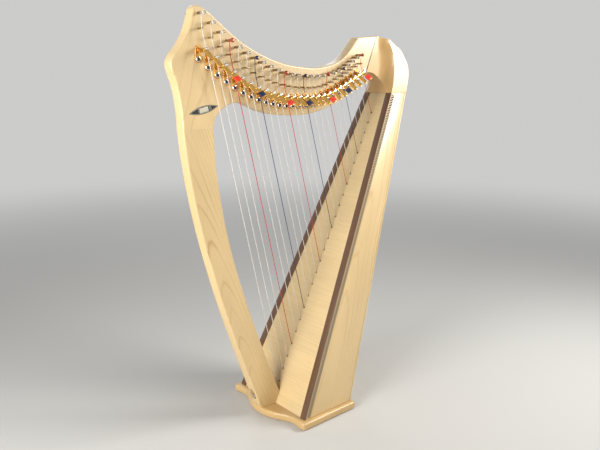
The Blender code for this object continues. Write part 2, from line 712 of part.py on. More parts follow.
def make_base():
    """The base plate, with its bellied front edge and its edges rounded over."""
    belly = BASE_BELLY_WIDTH / 2
    lobe = (BASE_BELLY_REACH - BASE_WAIST_REACH) / 2
    half = [
        (0.0, BASE_BELLY_REACH), (belly * 0.35, BASE_BELLY_REACH - lobe * 0.12),
        (belly * 0.70, BASE_BELLY_REACH - lobe * 0.55), (belly, BASE_WAIST_REACH + lobe * 0.85),
        (belly * 1.3, BASE_WAIST_REACH + lobe * 0.22), (belly * 1.6, BASE_WAIST_REACH),
    ]
    corner = BASE_ROUNDOVER * 2
    side = FOOT_HALF_WIDTH + BASE_SIDE_MARGIN
    back = FOOT_DEPTH + BASE_BACK_MARGIN
    half += [(side - corner, BASE_CORNER_REACH)]
    curve = smooth_path(half, 3)
    front = [Vector((-reach, y)) for y, reach in [(-p[0], p[1]) for p in reversed(curve)]]
    front += [Vector((-p[1], p[0])) for p in curve[1:]]
    rounded = []
    for x, y, start in ((corner - BASE_CORNER_REACH, side - corner, 135), (back - corner, side - corner, 90)):
        for step in range(4):
            angle = math.radians(start - step * (45 if start == 135 else 90) / 3)
            rounded.append(Vector((x + corner * math.cos(angle), y + corner * math.sin(angle))))
    outline = front + rounded + [Vector((p.x, -p.y)) for p in reversed(rounded)]
    plate = side_plate("base", outline, BASE_THICKNESS, BASE_ROUNDOVER, 1)
    lay_flat = Matrix.Translation((0, 0, BASE_THICKNESS / 2)) @ Matrix.Rotation(-math.pi / 2, 4, "X")
    add_piece("base", moved(plate, lay_flat), maple)


def make_strings():
    """All the strings, each anchored in the string bar glued inside the soundboard."""
    wires = []
    for course in COURSES:
        over = course.hole - BOARD_INWARD * course.radius * 2
        anchor = course.hole + BOARD_INWARD * (SOUNDBOARD_THICKNESS + STRING_BAR_THICKNESS / 2)
        wires.append(wire("string", [course.start, course.bend, over, anchor], course.radius))
    inset = SOUNDBOARD_FACE + SOUNDBOARD_DEPTH + GAP
    depth = STRING_BAR_THICKNESS * BOARD_SLANT
    margin = STRING_BAR_WIDTH / 2
    low = COURSES[0].hole.z - margin
    high = COURSES[-1].hole.z + margin / 2
    sections = []
    for z in (low, high):
        x0 = box_section(z)[0] + inset
        sections.append((x0, x0 + depth, -STRING_BAR_WIDTH / 2, STRING_BAR_WIDTH / 2))
    bm = bmesh.new()
    tapered(bm, sections[0], sections[1], low, high)
    bar = mesh_from(bm, "string_bar")
    add_piece("strings", combine(bar, joined(wires, "strings"), "UNION"), nylon)


clear_scene()
harp = collection("lever_harp")
source_collection = collection("construction")
maple = material("maple", (0.86, 0.66, 0.40), 0.38)
spruce = material("spruce", (0.84, 0.63, 0.38), 0.42)
walnut = material("walnut", (0.19, 0.09, 0.05), 0.45)
brass = material("brass", (0.80, 0.58, 0.24), 0.28, 1.0)
steel = material("steel", (0.68, 0.68, 0.70), 0.30, 1.0)
nylon = material("nylon", (0.85, 0.86, 0.88), 0.35)

make_base()
make_soundbox()
make_soundboard()
make_back()
make_shoulder()
make_pillar()
make_neck()
make_strings()
make_levers_and_pins()
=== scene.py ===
"""Looks of a small lever harp with 25 strings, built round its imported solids."""
import json
import math

import bmesh
import bpy
import numpy as np
from mathutils import Matrix, Vector


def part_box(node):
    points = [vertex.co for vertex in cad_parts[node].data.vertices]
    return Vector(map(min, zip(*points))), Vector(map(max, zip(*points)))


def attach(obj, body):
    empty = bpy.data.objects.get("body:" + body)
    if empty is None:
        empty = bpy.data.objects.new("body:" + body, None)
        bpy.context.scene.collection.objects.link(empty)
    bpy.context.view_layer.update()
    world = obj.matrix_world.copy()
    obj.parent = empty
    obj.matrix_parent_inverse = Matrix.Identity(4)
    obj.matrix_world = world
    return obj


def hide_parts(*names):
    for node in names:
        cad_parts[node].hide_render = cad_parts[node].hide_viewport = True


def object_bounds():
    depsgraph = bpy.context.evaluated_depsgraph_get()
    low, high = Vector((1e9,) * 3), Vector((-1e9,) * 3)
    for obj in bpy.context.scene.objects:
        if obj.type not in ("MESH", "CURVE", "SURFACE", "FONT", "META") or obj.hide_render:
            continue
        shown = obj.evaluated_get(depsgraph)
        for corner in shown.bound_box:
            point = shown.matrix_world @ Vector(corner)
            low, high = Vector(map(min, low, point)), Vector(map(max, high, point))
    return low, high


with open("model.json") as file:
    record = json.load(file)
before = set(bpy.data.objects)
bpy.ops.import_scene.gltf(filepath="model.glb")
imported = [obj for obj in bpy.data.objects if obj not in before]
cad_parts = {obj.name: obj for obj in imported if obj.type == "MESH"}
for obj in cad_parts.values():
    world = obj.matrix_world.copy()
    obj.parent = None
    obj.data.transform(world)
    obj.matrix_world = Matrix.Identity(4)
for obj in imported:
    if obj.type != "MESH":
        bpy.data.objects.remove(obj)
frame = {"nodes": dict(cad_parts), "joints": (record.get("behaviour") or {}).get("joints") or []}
nodes = frame["nodes"]
solid_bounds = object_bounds()
scene = bpy.context.scene

# Camera and studio
# The camera looks slightly down at the bass side, from in front of the pillar. Large soft lamps
# and a pale room light the wood. Nothing here belongs to the harp.
CAMERA_PLACE = (-0.7738, -0.9818, 0.6841)
CAMERA_YAW = math.radians(41.06)
CAMERA_PITCH = math.radians(12.79)
CAMERA_LENS = 38.42
FLOOR_COLOR = (0.58, 0.58, 0.57)
FLOOR_ROUGHNESS = 0.9
FLOOR_SIZE = 30
FLOOR_GAP = 0.0005
FADE_START = 0.7
FADE_END = 3.5
ROOM_COLOR = (0.60, 0.60, 0.595)
ROOM_STRENGTH = 0.30
ROOM_SEEN = 1.0

camera_data = bpy.data.cameras.new("camera")
camera_data.lens = CAMERA_LENS
camera_data.clip_start = 0.01
camera = bpy.data.objects.new("camera", camera_data)
camera.location = CAMERA_PLACE
camera.rotation_euler = (math.pi / 2 - CAMERA_PITCH, 0, -CAMERA_YAW)
scene.collection.objects.link(camera)
scene.camera = camera
scene.view_settings.view_transform = "Standard"


def soft_box(name, place, aim, size, power, color):
    """A large square lamp turned towards a point."""
    lamp = bpy.data.lights.new(name, "AREA")
    lamp.size = size
    lamp.energy = power
    lamp.color = color
    holder = bpy.data.objects.new(name, lamp)
    holder.location = place
    holder.rotation_euler = (Vector(aim) - Vector(place)).to_track_quat("-Z", "Y").to_euler()
    scene.collection.objects.link(holder)


def set_inputs(tree, node, inputs):
    """Set a node's inputs to values, or link them to sockets."""
    for name, value in inputs.items():
        if isinstance(value, bpy.types.NodeSocket):
            tree.links.new(value, node.inputs[name])
        else:
            node.inputs[name].default_value = value


def add_node(tree, kind, inputs=None, **settings):
    """Add a node with its settings and its inputs."""
    made = tree.nodes.new(kind)
    for name, value in settings.items():
        setattr(made, name, value)
    set_inputs(tree, made, inputs or {})
    return made


def calculate(tree, operation, *values):
    """The result of a Math node."""
    return add_node(tree, "ShaderNodeMath", dict(enumerate(values)), operation=operation).outputs[0]


def ranged(tree, value, low, high, to_low=0.0, to_high=1.0, **settings):
    """A value carried from one range to another."""
    return add_node(tree, "ShaderNodeMapRange", {"Value": value, "From Min": low, "From Max": high,
                                                 "To Min": to_low, "To Max": to_high}, **settings).outputs[0]


def shade(color, factor=1.0):
    """A colour times a factor, opaque, as nodes take it."""
    return (*[channel * factor for channel in color], 1)


def new_finish(name):
    """A material, its node tree, and the place on the object that its textures use."""
    finish = bpy.data.materials.new(name)
    finish.use_nodes = True
    tree = finish.node_tree
    return finish, tree, add_node(tree, "ShaderNodeTexCoord").outputs["Object"]


def dress(tree, inputs):
    """Set or link the inputs of a material's main shader, and return the shader."""
    shader = tree.nodes["Principled BSDF"]
    set_inputs(tree, shader, inputs)
    return shader


soft_box("key_lamp", (1.00, -0.78, 1.08), (0.15, -0.02, 0.55), 0.6, 21, (1.0, 0.97, 0.92))
soft_box("fill_lamp", (-1.35, -0.25, 0.68), (0.0, 0, 0.4), 0.8, 25, (1.0, 0.97, 0.93))
soft_box("back_lamp", (0.9, 1.7, 1.6), (0.15, 0, 0.4), 1.2, 8, (0.96, 0.98, 1.0))

world = bpy.data.worlds.new("room")
world.use_nodes = True
room = world.node_tree
scene.world = world
seen = add_node(room, "ShaderNodeLightPath").outputs
in_sight = calculate(room, "MAXIMUM", seen["Is Camera Ray"], seen["Is Glossy Ray"])
strength = ranged(room, in_sight, 0, 1, ROOM_STRENGTH, ROOM_SEEN)
set_inputs(room, room.nodes["Background"], {"Color": shade(ROOM_COLOR), "Strength": strength})

floor_mesh = bpy.data.meshes.new("floor")
floor_form = bmesh.new()
bmesh.ops.create_grid(floor_form, x_segments=1, y_segments=1, size=FLOOR_SIZE)
floor_form.to_mesh(floor_mesh)
floor_form.free()
floor = bpy.data.objects.new("floor", floor_mesh)
floor.location.z = solid_bounds[0].z - FLOOR_GAP
scene.collection.objects.link(floor)
floor_paint, floor_tree, floor_place = new_finish("floor_paint")
floor_shader = dress(floor_tree, {"Base Color": shade(FLOOR_COLOR), "Roughness": FLOOR_ROUGHNESS})
floor_distance = add_node(floor_tree, "ShaderNodeVectorMath", {0: floor_place}, operation="LENGTH")
floor_fade = ranged(floor_tree, floor_distance.outputs["Value"], FADE_START, FADE_END,
                    interpolation_type="SMOOTHSTEP")
floor_glow = add_node(floor_tree, "ShaderNodeEmission", {"Color": shade(ROOM_COLOR), "Strength": ROOM_SEEN})
floor_blend = add_node(floor_tree, "ShaderNodeMixShader", {0: floor_fade, 1: floor_shader.outputs[0],
                                                           2: floor_glow.outputs[0]})
set_inputs(floor_tree, floor_tree.nodes["Material Output"], {"Surface": floor_blend.outputs[0]})
floor_mesh.materials.append(floor_paint)

# Base board
# A plate of solid maple that the soundbox and the pillar stand on. Its front edge bellies out
# under the pillar's foot, and all its edges are rounded over and lacquered. Its colour is darker
# than the other maple: painted shade.
BASE_ROUNDING = 0.0042
BASE_SHADED_COLOR = (0.70, 0.475, 0.205)
CORNER_TURN = math.radians(35)
STRAIGHT_TURN = math.radians(0.3)
SMOOTH_TURN = math.radians(32)
OUTLINE_STEP = 0.0025
LEAST_STEP = 0.0012
SAME_POINT = 1e-5
UNFOLD_ROUNDS = 4
MANY_SIDES = 8
LEAST_MITRE = 0.05
MAPLE = (0.80, 0.590, 0.300)
MAPLE_RING = (0.46, 0.255, 0.090)
LATE_START = 0.70
LATE_END = 0.93
CLOUD_SHADE = 0.86
FIBRE_SHADE = 0.62
PORE_SHADE = 0.45
PORE_STRENGTH = 0.22


def section_outline(node, origin, normal):
    """The longest closed line in which a plane cuts a solid, as points in order."""
    form = bmesh.new()
    form.from_mesh(nodes[node].data)
    bmesh.ops.remove_doubles(form, verts=form.verts, dist=SAME_POINT)
    whole = form.verts[:] + form.edges[:] + form.faces[:]
    cut = bmesh.ops.bisect_plane(form, geom=whole, plane_co=origin, plane_no=normal)["geom_cut"]
    edges = dict.fromkeys(item for item in cut if isinstance(item, bmesh.types.BMEdge))
    loops = []
    while edges:
        first = next(iter(edges))
        del edges[first]
        line = list(first.verts)
        while True:
            following = next((edge for edge in line[-1].link_edges if edge in edges), None)
            if following is None:
                break
            del edges[following]
            line.append(following.other_vert(line[-1]))
        loops.append([vert.co.copy() for vert in line[:-1]])
    form.free()
    return max(loops, key=lambda loop: sum((a - b).length for a, b in zip(loop, loop[1:])))


def turn_at(before, here, after):
    """Angle by which a line turns at a point, in the plane of its first two coordinates."""
    arriving = here - before
    leaving = after - here
    return math.atan2(arriving.x * leaving.y - arriving.y * leaving.x, arriving.dot(leaving))


def in_threes(loop):
    """Each point of a closed line with the one before and the one after it."""
    return list(zip(loop[-1:] + loop, loop, loop[1:] + loop[:1]))


def without_straight_points(loop):
    """A closed line without the points that lie in its straight stretches, anticlockwise."""
    kept = [three[1] for three in in_threes(loop) if abs(turn_at(*three)) > STRAIGHT_TURN]
    kept = [here for before, here in zip(kept[-1:] + kept, kept) if (here - before).length > LEAST_STEP]
    around = sum(turn_at(*three) for three in in_threes(kept))
    return kept if around > 0 else kept[::-1]


def eased_run(run):
    """Points on a smooth curve through those of a run, about a step apart, without its last."""
    knots = [2 * run[0] - run[1], *run, 2 * run[-1] - run[-2]]
    line = []
    for a, b, c, d in zip(knots, knots[1:], knots[2:], knots[3:]):
        count = max(1, round((c - b).length / OUTLINE_STEP))
        for number in range(count):
            t = number / count
            line.append(0.5 * (2 * b + (c - a) * t + (2 * a - 5 * b + 4 * c - d) * t * t
                               + (3 * b - a - 3 * c + d) * t ** 3))
    return line


def eased_outline(loop, is_corner=lambda point: False):
    """A closed outline with its curves made smooth, and which of its edges are square joints."""
    loop = without_straight_points(loop)
    corners = [number for number, three in enumerate(in_threes(loop))
               if abs(turn_at(*three)) > CORNER_TURN or is_corner(three[1])]
    if not corners:
        line = eased_run(loop[-2:] + loop + loop[:3])
        first = min(range(len(line)), key=lambda number: (line[number] - loop[0]).length)
        last = max(range(len(line)), key=lambda number: (-(line[number] - loop[0]).length, number))
        return line[first:last], [False] * (last - first)
    line = []
    square = []
    for first, last in zip(corners, corners[1:] + [corners[0] + len(loop)]):
        run = [loop[number % len(loop)] for number in range(first, last + 1)]
        part = run[:1] if len(run) == 2 else eased_run(run)
        line += part
        square += [len(run) == 2] * len(part)
    return line, square


def without_folds(points, ahead):
    """A closed ring without the edges that drawing it in has turned against the outline's own."""
    for again in range(UNFOLD_ROUNDS):
        folded = ((np.roll(points, -1, 0) - points) * ahead).sum(1) < 0
        for number in np.flatnonzero(folded):
            after = (number + 1) % len(points)
            points[number] = points[after] = (points[number] + points[after]) / 2
    return points


def outward(mesh):
    """The same mesh with its doubles merged and its faces pointing out."""
    form = bmesh.new()
    form.from_mesh(mesh)
    bmesh.ops.remove_doubles(form, verts=form.verts, dist=1e-6)
    bmesh.ops.recalc_face_normals(form, faces=form.faces)
    form.to_mesh(mesh)
    form.free()
    return mesh


def rounded_board(outline, low, high, rounding, steps=6, grow=0.0, square=None):
    """A board with an outline in X and Y, from low to high in Z, with rounded long edges.

    Edges marked square stay sharp. `grow` moves the other edges of the outline outwards.
    """
    loop = np.array([(point[0], point[1]) for point in outline])
    count = len(loop)
    ahead = np.roll(loop, -1, 0) - loop
    ahead /= np.linalg.norm(ahead, axis=1)[:, None]
    inward = np.stack([-ahead[:, 1], ahead[:, 0]], 1)
    behind = np.roll(inward, 1, 0)
    share = np.where(square or [False] * count, 0.0, 1.0)
    share_behind = np.roll(share, 1)
    spread = inward[:, 0] * behind[:, 1] - inward[:, 1] * behind[:, 0]
    bent = np.abs(spread) > LEAST_MITRE
    safe = np.where(bent, spread, 1.0)
    mitre = np.stack([share * behind[:, 1] - share_behind * inward[:, 1],
                      inward[:, 0] * share_behind - behind[:, 0] * share], 1) / safe[:, None]
    even = (inward * share[:, None] + behind * share_behind[:, None]) / 2
    shift = np.where(bent[:, None], mitre, even)
    rings = []
    for number in range(steps + 1):
        angle = math.pi / 2 * (1 - number / steps)
        rings.append((rounding * (1 - math.cos(angle)) - grow, low + rounding * (1 - math.sin(angle))))
    rings += [(inset, high + low - level) for inset, level in reversed(rings)]
    verts = [(*point, level) for inset, level in rings
             for point in without_folds(loop + shift * inset, ahead)]
    faces = [list(range(count)), list(range(len(verts) - 1, len(verts) - count - 1, -1))]
    for ring in range(len(rings) - 1):
        for number in range(count):
            after = (number + 1) % count
            faces.append((ring * count + number, ring * count + after,
                          (ring + 1) * count + after, (ring + 1) * count + number))
    mesh = bpy.data.meshes.new("board")
    mesh.from_pydata(verts, [], faces)
    return outward(mesh)


def shaded(mesh):
    """Smooth shading that breaks at sharp edges and leaves faces of many sides flat."""
    mesh.shade_smooth()
    mesh.set_sharp_from_angle(angle=SMOOTH_TURN)
    for face in mesh.polygons:
        if len(face.vertices) > MANY_SIDES:
            face.use_smooth = False
    return mesh


def add_piece(name, mesh, finish, body="frame", stands_for=()):
    """Put a finished mesh in the scene as one piece that rides on a body."""
    mesh.materials.clear()
    mesh.materials.append(finish)
    piece = bpy.data.objects.new(name, shaded(mesh))
    scene.collection.objects.link(piece)
    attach(piece, body)
    if stands_for:
        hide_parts(*stands_for)


def noise(tree, vector, scale, detail=2.0, roughness=0.5):
    """The value of a Noise node on a vector."""
    return add_node(tree, "ShaderNodeTexNoise", {"Vector": vector, "Scale": scale, "Detail": detail,
                                                 "Roughness": roughness}).outputs[0]


def stretched(tree, vector, scale):
    """A vector with each coordinate multiplied."""
    return add_node(tree, "ShaderNodeVectorMath", {0: vector, 1: scale}, operation="MULTIPLY").outputs[0]


def mixed(tree, share, first, second):
    """The result of a colour Mix node."""
    return add_node(tree, "ShaderNodeMix", {0: share, 6: first, 7: second}, data_type="RGBA").outputs[2]


def figure_tree():
    """A shader node group for wood that grew along Z: year rings, fibres, clouds and pores."""
    tree = bpy.data.node_groups.new("wood_figure", "ShaderNodeTree")
    tree.interface.new_socket("Vector", in_out="INPUT", socket_type="NodeSocketVector")
    for label in ("Ring Width", "Waviness", "Fibre Size"):
        tree.interface.new_socket(label, in_out="INPUT", socket_type="NodeSocketFloat")
    for label in ("Rings", "Fibres", "Clouds", "Pores"):
        tree.interface.new_socket(label, in_out="OUTPUT", socket_type="NodeSocketFloat")
    source = tree.nodes.new("NodeGroupInput").outputs

    def along(share, scale, detail=2.0, roughness=0.5):
        """Noise drawn out along the grain, where a height counts by a share only."""
        return noise(tree, stretched(tree, source["Vector"], (1, 1, share)), scale, detail, roughness)

    sway = calculate(tree, "SUBTRACT", along(0.22, 9), 0.5)
    ripple = calculate(tree, "SUBTRACT", along(0.10, 70), 0.5)
    flat = stretched(tree, source["Vector"], (1, 1, 0))
    distance = add_node(tree, "ShaderNodeVectorMath", {0: flat}, operation="LENGTH").outputs["Value"]
    swayed = calculate(tree, "MULTIPLY_ADD", sway, source["Waviness"], distance)
    fine_waviness = calculate(tree, "MULTIPLY", source["Waviness"], 0.08)
    rippled = calculate(tree, "MULTIPLY_ADD", ripple, fine_waviness, swayed)
    season = calculate(tree, "FRACT", calculate(tree, "DIVIDE", rippled, source["Ring Width"]))
    late = ranged(tree, season, LATE_START, LATE_END, interpolation_type="SMOOTHSTEP")
    early = ranged(tree, season, LATE_END, 1.0, 1.0, 0.0)
    line = calculate(tree, "POWER", calculate(tree, "MULTIPLY", late, early), 1.6)
    strong = ranged(tree, along(0.3, 22, 1.0), 0.38, 0.62, 0.25)
    fibre_scale = calculate(tree, "DIVIDE", 1.0, source["Fibre Size"])
    add_node(tree, "NodeGroupOutput", {"Rings": calculate(tree, "MULTIPLY", line, strong),
                                       "Fibres": along(0.018, fibre_scale, 3.0, 0.6),
                                       "Clouds": along(0.35, 14),
                                       "Pores": ranged(tree, along(0.12, 620, 1.0), 0.66, 0.78)})
    return tree


wood_figure = figure_tree()


def wood(name, pith, pith_end, ring_width, waviness, ring_strength, color=MAPLE, ring_color=MAPLE_RING,
         fibre_size=0.0006, fibre_strength=0.35, roughness=0.34, coat=0.35):
    """A lacquered wood cut from a trunk whose pith runs from one point towards another."""
    finish, tree, space = new_finish(name)
    upright = (Vector(pith_end) - Vector(pith)).to_track_quat("Z", "Y").inverted()
    turned = add_node(tree, "ShaderNodeMapping", {"Vector": space, "Rotation": upright.to_euler(),
                                                  "Location": -(upright @ Vector(pith))})
    figure = add_node(tree, "ShaderNodeGroup", {"Vector": turned.outputs[0], "Ring Width": ring_width,
                                                "Waviness": waviness, "Fibre Size": fibre_size},
                      node_tree=wood_figure).outputs
    paint = mixed(tree, ranged(tree, figure["Clouds"], 0.35, 0.70), shade(color), shade(color, CLOUD_SHADE))
    for part, part_strength, part_color in (("Fibres", fibre_strength, shade(color, FIBRE_SHADE)),
                                            ("Rings", ring_strength, shade(ring_color)),
                                            ("Pores", PORE_STRENGTH, shade(ring_color, PORE_SHADE))):
        paint = mixed(tree, calculate(tree, "MULTIPLY", figure[part], part_strength), paint, part_color)
    bump = add_node(tree, "ShaderNodeBump", {"Strength": 0.25, "Distance": 0.00012,
                                             "Height": figure["Fibres"]})
    dress(tree, {"Base Color": paint, "Normal": bump.outputs[0], "Coat Weight": coat, "Coat Roughness": 0.12,
                 "Roughness": ranged(tree, figure["Fibres"], 0.2, 0.8, roughness - 0.05, roughness + 0.07)})
    return finish


base_low, base_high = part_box("base")
base_middle = Vector((0, 0, (base_low.z + base_high.z) / 2))
base_line, base_square = eased_outline(section_outline("base", base_middle, (0, 0, 1)))
base_board = rounded_board(base_line, base_low.z, base_high.z, BASE_ROUNDING, square=base_square)
# The base's maple colour is darker than that of the pillar and neck, as painted shade.
shaded_base_maple = wood("shaded_base_maple", (0.02, -0.12, -0.035), (0.05, 0.12, -0.028), ring_width=0.006,
                  waviness=0.016, ring_strength=0.30, color=BASE_SHADED_COLOR)
add_piece("base_board", base_board, shaded_base_maple, stands_for=["base"])

# Soundbox
# Two maple sides taper up to the shoulder. They are glued to a block at the foot and one at the
# top, and are open in front, under the soundboard, and behind, under the back panel.
BOX_EDGE = 0.0012
FLAT_TURN = math.radians(0.5)
SHARP_TURN = math.radians(30)


def eased_copy(node, width, steps=3, filled=False):
    """A copy of a solid with its sharp edges rounded, without its holes where it is filled."""
    form = bmesh.new()
    form.from_mesh(nodes[node].data)
    bmesh.ops.remove_doubles(form, verts=form.verts, dist=SAME_POINT)
    if filled:
        points = [vert.co.copy() for vert in form.verts]
        form.clear()
        hull = bmesh.ops.convex_hull(form, input=[form.verts.new(point) for point in points])
        inner = dict.fromkeys(item for item in hull["geom_interior"] + hull["geom_unused"]
                              if isinstance(item, bmesh.types.BMVert))
        bmesh.ops.delete(form, geom=list(inner), context="VERTS")
    bmesh.ops.dissolve_limit(form, angle_limit=FLAT_TURN, verts=form.verts, edges=form.edges)
    if width:
        sharp = [edge for edge in form.edges if edge.is_manifold and edge.calc_face_angle() > SHARP_TURN]
        bmesh.ops.bevel(form, geom=sharp, offset=width, segments=steps, profile=0.5, affect="EDGES",
                        clamp_overlap=True)
    bmesh.ops.recalc_face_normals(form, faces=form.faces)
    mesh = bpy.data.meshes.new(node + "_eased")
    form.to_mesh(mesh)
    form.free()
    return mesh


side_maple = wood("side_maple", (0.045, -0.066, 0.016), (0.325, 0.030, 0.656), ring_width=0.0060,
                  waviness=0.034, ring_strength=0.48)
add_piece("soundbox_sides", eased_copy("soundbox", BOX_EDGE), side_maple, stands_for=["soundbox"])

# Soundboard
# A thin board of pale softwood with its grain level across the box. Each string goes through a
# small brass eyelet pressed into it, coloured nearly black as painted shade of the string hole.
SOUNDBOARD_COLOR = (0.86, 0.650, 0.345)
SOUNDBOARD_LINE = (0.56, 0.34, 0.14)
STRING_HOLE = 0.0012
EYELET_OUTER = 0.0022
EYELET_NECK = EYELET_OUTER * 0.68
EYELET_INNER = STRING_HOLE * 0.8
EYELET_DEPTH = 0.002
EYELET_PROUD = 0.0007
NEAR_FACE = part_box("pillar")[0].y
STRING_GAP = 0.0003
BRIDGE_PIN_RADIUS = 0.0016
STRING_LIFT = 0.0137
PIN_RADIUS = 0.0024
COIL_GAP = 0.0001
SAME_LEVEL = 1e-4
STRING_THICKEST = 0.0007
STRING_THINNEST = 0.00045


def end_points(node):
    """The points of a solid at its lowest level, and those at its highest."""
    points = np.array([vert.co for vert in nodes[node].data.vertices])
    heights = points[:, 2]
    return points[heights < heights.min() + SAME_LEVEL], points[heights > heights.max() - SAME_LEVEL]


board_feet, board_tops = end_points("soundboard")
BOARD_FOOT = Vector((board_feet[:, 0].min(), 0, board_feet[0, 2]))
BOARD_TOP = Vector((board_tops[:, 0].min(), 0, board_tops[0, 2]))
BOARD_ALONG = (BOARD_TOP - BOARD_FOOT).normalized()
BOARD_OUT = Vector((-BOARD_ALONG.z, 0, BOARD_ALONG.x))
BOARD_THICK = (board_feet[:, 0].max() - BOARD_FOOT.x) * BOARD_ALONG.z
joints = {joint["name"]: joint for joint in frame["joints"]}
STRINGS = sum(name.startswith("lever_") for name in joints)


class Course:
    """One string's places, read from the joints of its lever and of its tuning pin.

    `bend` is where it leaves its bridge pin, `hole` where it goes through the soundboard.
    """

    def __init__(self, number):
        self.label = f"{number + 1:02d}"
        self.note = "GABCDEF"[number % 7]
        self.radius = STRING_THICKEST + (STRING_THINNEST - STRING_THICKEST) * number / (STRINGS - 1)
        self.coil_radius = PIN_RADIUS + COIL_GAP + self.radius
        self.pin = Vector(joints[f"tuning_pin_{self.label}_turn"]["pos_m"])
        self.pivot = Vector(joints[f"lever_{self.label}_flip"]["pos_m"])
        axis = joints[f"lever_{self.label}_flip"]["axis"]
        self.turn = math.atan2(-axis[2], -axis[0])
        down = Vector((math.sin(self.turn), 0, -math.cos(self.turn)))
        beside = BRIDGE_PIN_RADIUS + STRING_GAP + self.radius
        up = (self.pivot.x - self.pin.x + beside) / down.x
        self.bend = self.pivot - down * up
        self.bend.y = NEAR_FACE - STRING_LIFT
        reach = (BOARD_FOOT - self.bend).dot(BOARD_OUT) / down.dot(BOARD_OUT)
        self.hole = self.bend + down * reach
        self.hole.y = 0
        string_y = self.bend.y * (1 - (self.pivot - self.bend).dot(down) / reach)
        self.cam_reach = string_y - self.radius - STRING_GAP - self.pivot.y


courses = [Course(number) for number in range(STRINGS)]


def facing(normal, along=Vector((0, 1, 0))):
    """A turn that lays Z on a direction and X as near as it can to another."""
    normal = normal.normalized()
    across = (along - normal * along.dot(normal)).normalized()
    return Matrix((across, normal.cross(across), normal)).transposed().to_4x4()


def turned_form(profile, sides=24):
    """A closed mesh turned round Z from a profile of (radius, height) that runs up its outer side."""
    form = bmesh.new()
    ring = [form.verts.new((radius, 0, height)) for radius, height in profile]
    edges = [form.edges.new(pair) for pair in zip(ring, ring[1:])]
    bmesh.ops.spin(form, geom=ring + edges, cent=(0, 0, 0), axis=(0, 0, 1), angle=2 * math.pi, steps=sides,
                   use_merge=True)
    bmesh.ops.remove_doubles(form, verts=form.verts, dist=1e-7)
    bmesh.ops.recalc_face_normals(form, faces=form.faces)
    mesh = bpy.data.meshes.new("turned")
    form.to_mesh(mesh)
    form.free()
    return mesh


def rod(radius, low, high, sides):
    """A plain cylinder on the Z axis."""
    return turned_form([(0, low), (radius, low), (radius, high), (0, high)], sides)


def placed(mesh, matrix):
    """A copy of a mesh moved by a matrix."""
    made = mesh.copy()
    made.transform(matrix)
    return made


def gathered(meshes):
    """Several meshes as one."""
    form = bmesh.new()
    for mesh in meshes:
        form.from_mesh(mesh)
    whole = bpy.data.meshes.new("gathered")
    form.to_mesh(whole)
    form.free()
    return whole


def carved(mesh, tool, operation="DIFFERENCE"):
    """A mesh cut by, or joined with, another."""
    target = bpy.data.objects.new("target", mesh)
    cutter = bpy.data.objects.new("cutter", tool)
    for item in (target, cutter):
        scene.collection.objects.link(item)
    cut = target.modifiers.new("cut", "BOOLEAN")
    cut.operation = operation
    cut.object = cutter
    made = bpy.data.meshes.new_from_object(target.evaluated_get(bpy.context.evaluated_depsgraph_get()))
    for item in (target, cutter):
        bpy.data.objects.remove(item)
    return made


drill = rod(STRING_HOLE, -2 * BOARD_THICK, 2 * BOARD_THICK, 12)
board_frame = facing(BOARD_OUT)
drills = gathered([placed(drill, Matrix.Translation(course.hole) @ board_frame) for course in courses])
soundboard = carved(eased_copy("soundboard", 0, filled=True), drills)
soundboard_wood = wood("soundboard_wood", (0.95, -0.1, 1.6), (0.95, 0.1, 1.6), ring_width=0.0052,
                       waviness=0.018, ring_strength=0.46, color=SOUNDBOARD_COLOR,
                       ring_color=SOUNDBOARD_LINE, fibre_size=0.0024, fibre_strength=0.85, roughness=0.30,
                       coat=0.4)
add_piece("soundboard_plate", soundboard, soundboard_wood, stands_for=["soundboard"])


def metal(name, color, roughness, tarnish_color, tarnish):
    """A worked metal, softly dulled in patches."""
    finish, tree, space = new_finish(name)
    patches = calculate(tree, "MULTIPLY", ranged(tree, noise(tree, space, 130), 0.30, 0.75), tarnish)
    gloss = ranged(tree, noise(tree, space, 900), 0, 1, roughness - 0.06, roughness + 0.12)
    scratches = noise(tree, stretched(tree, space, (1, 1, 0.15)), 2600)
    bump = add_node(tree, "ShaderNodeBump", {"Strength": 0.12, "Distance": 0.00005, "Height": scratches})
    dress(tree, {"Base Color": mixed(tree, patches, shade(color), shade(tarnish_color)), "Metallic": 1.0,
                 "Roughness": gloss, "Normal": bump.outputs[0]})
    return finish


def growing_tree(name, **inputs):
    """An empty geometry node tree and the sockets of its inputs, which are named with their kinds."""
    tree = bpy.data.node_groups.new(name, "GeometryNodeTree")
    for label, kind in {"Geometry": "Geometry", "Material": "Material", **inputs}.items():
        tree.interface.new_socket(label, in_out="INPUT", socket_type=f"NodeSocket{kind}")
    tree.interface.new_socket("Geometry", in_out="OUTPUT", socket_type="NodeSocketGeometry")
    return tree, tree.nodes.new("NodeGroupInput").outputs


def finish_tree(tree, geometry, source):
    """End a geometry node tree with its result made real and given its material."""
    real = add_node(tree, "GeometryNodeRealizeInstances", {"Geometry": geometry})
    dressed = add_node(tree, "GeometryNodeSetMaterial", {"Geometry": real.outputs[0],
                                                         "Material": source["Material"]})
    add_node(tree, "NodeGroupOutput", {0: dressed.outputs[0]})
    return tree


def grown(holder, tree, **settings):
    """The plain mesh that a geometry node tree makes on an object, which is then removed."""
    scene.collection.objects.link(holder)
    modifier = holder.modifiers.new("grow", "NODES")
    modifier.node_group = tree
    for item in tree.interface.items_tree:
        if item.in_out == "INPUT" and item.name in settings:
            modifier[item.identifier] = settings[item.name]
    mesh = bpy.data.meshes.new_from_object(holder.evaluated_get(bpy.context.evaluated_depsgraph_get()))
    bpy.data.objects.remove(holder)
    return mesh


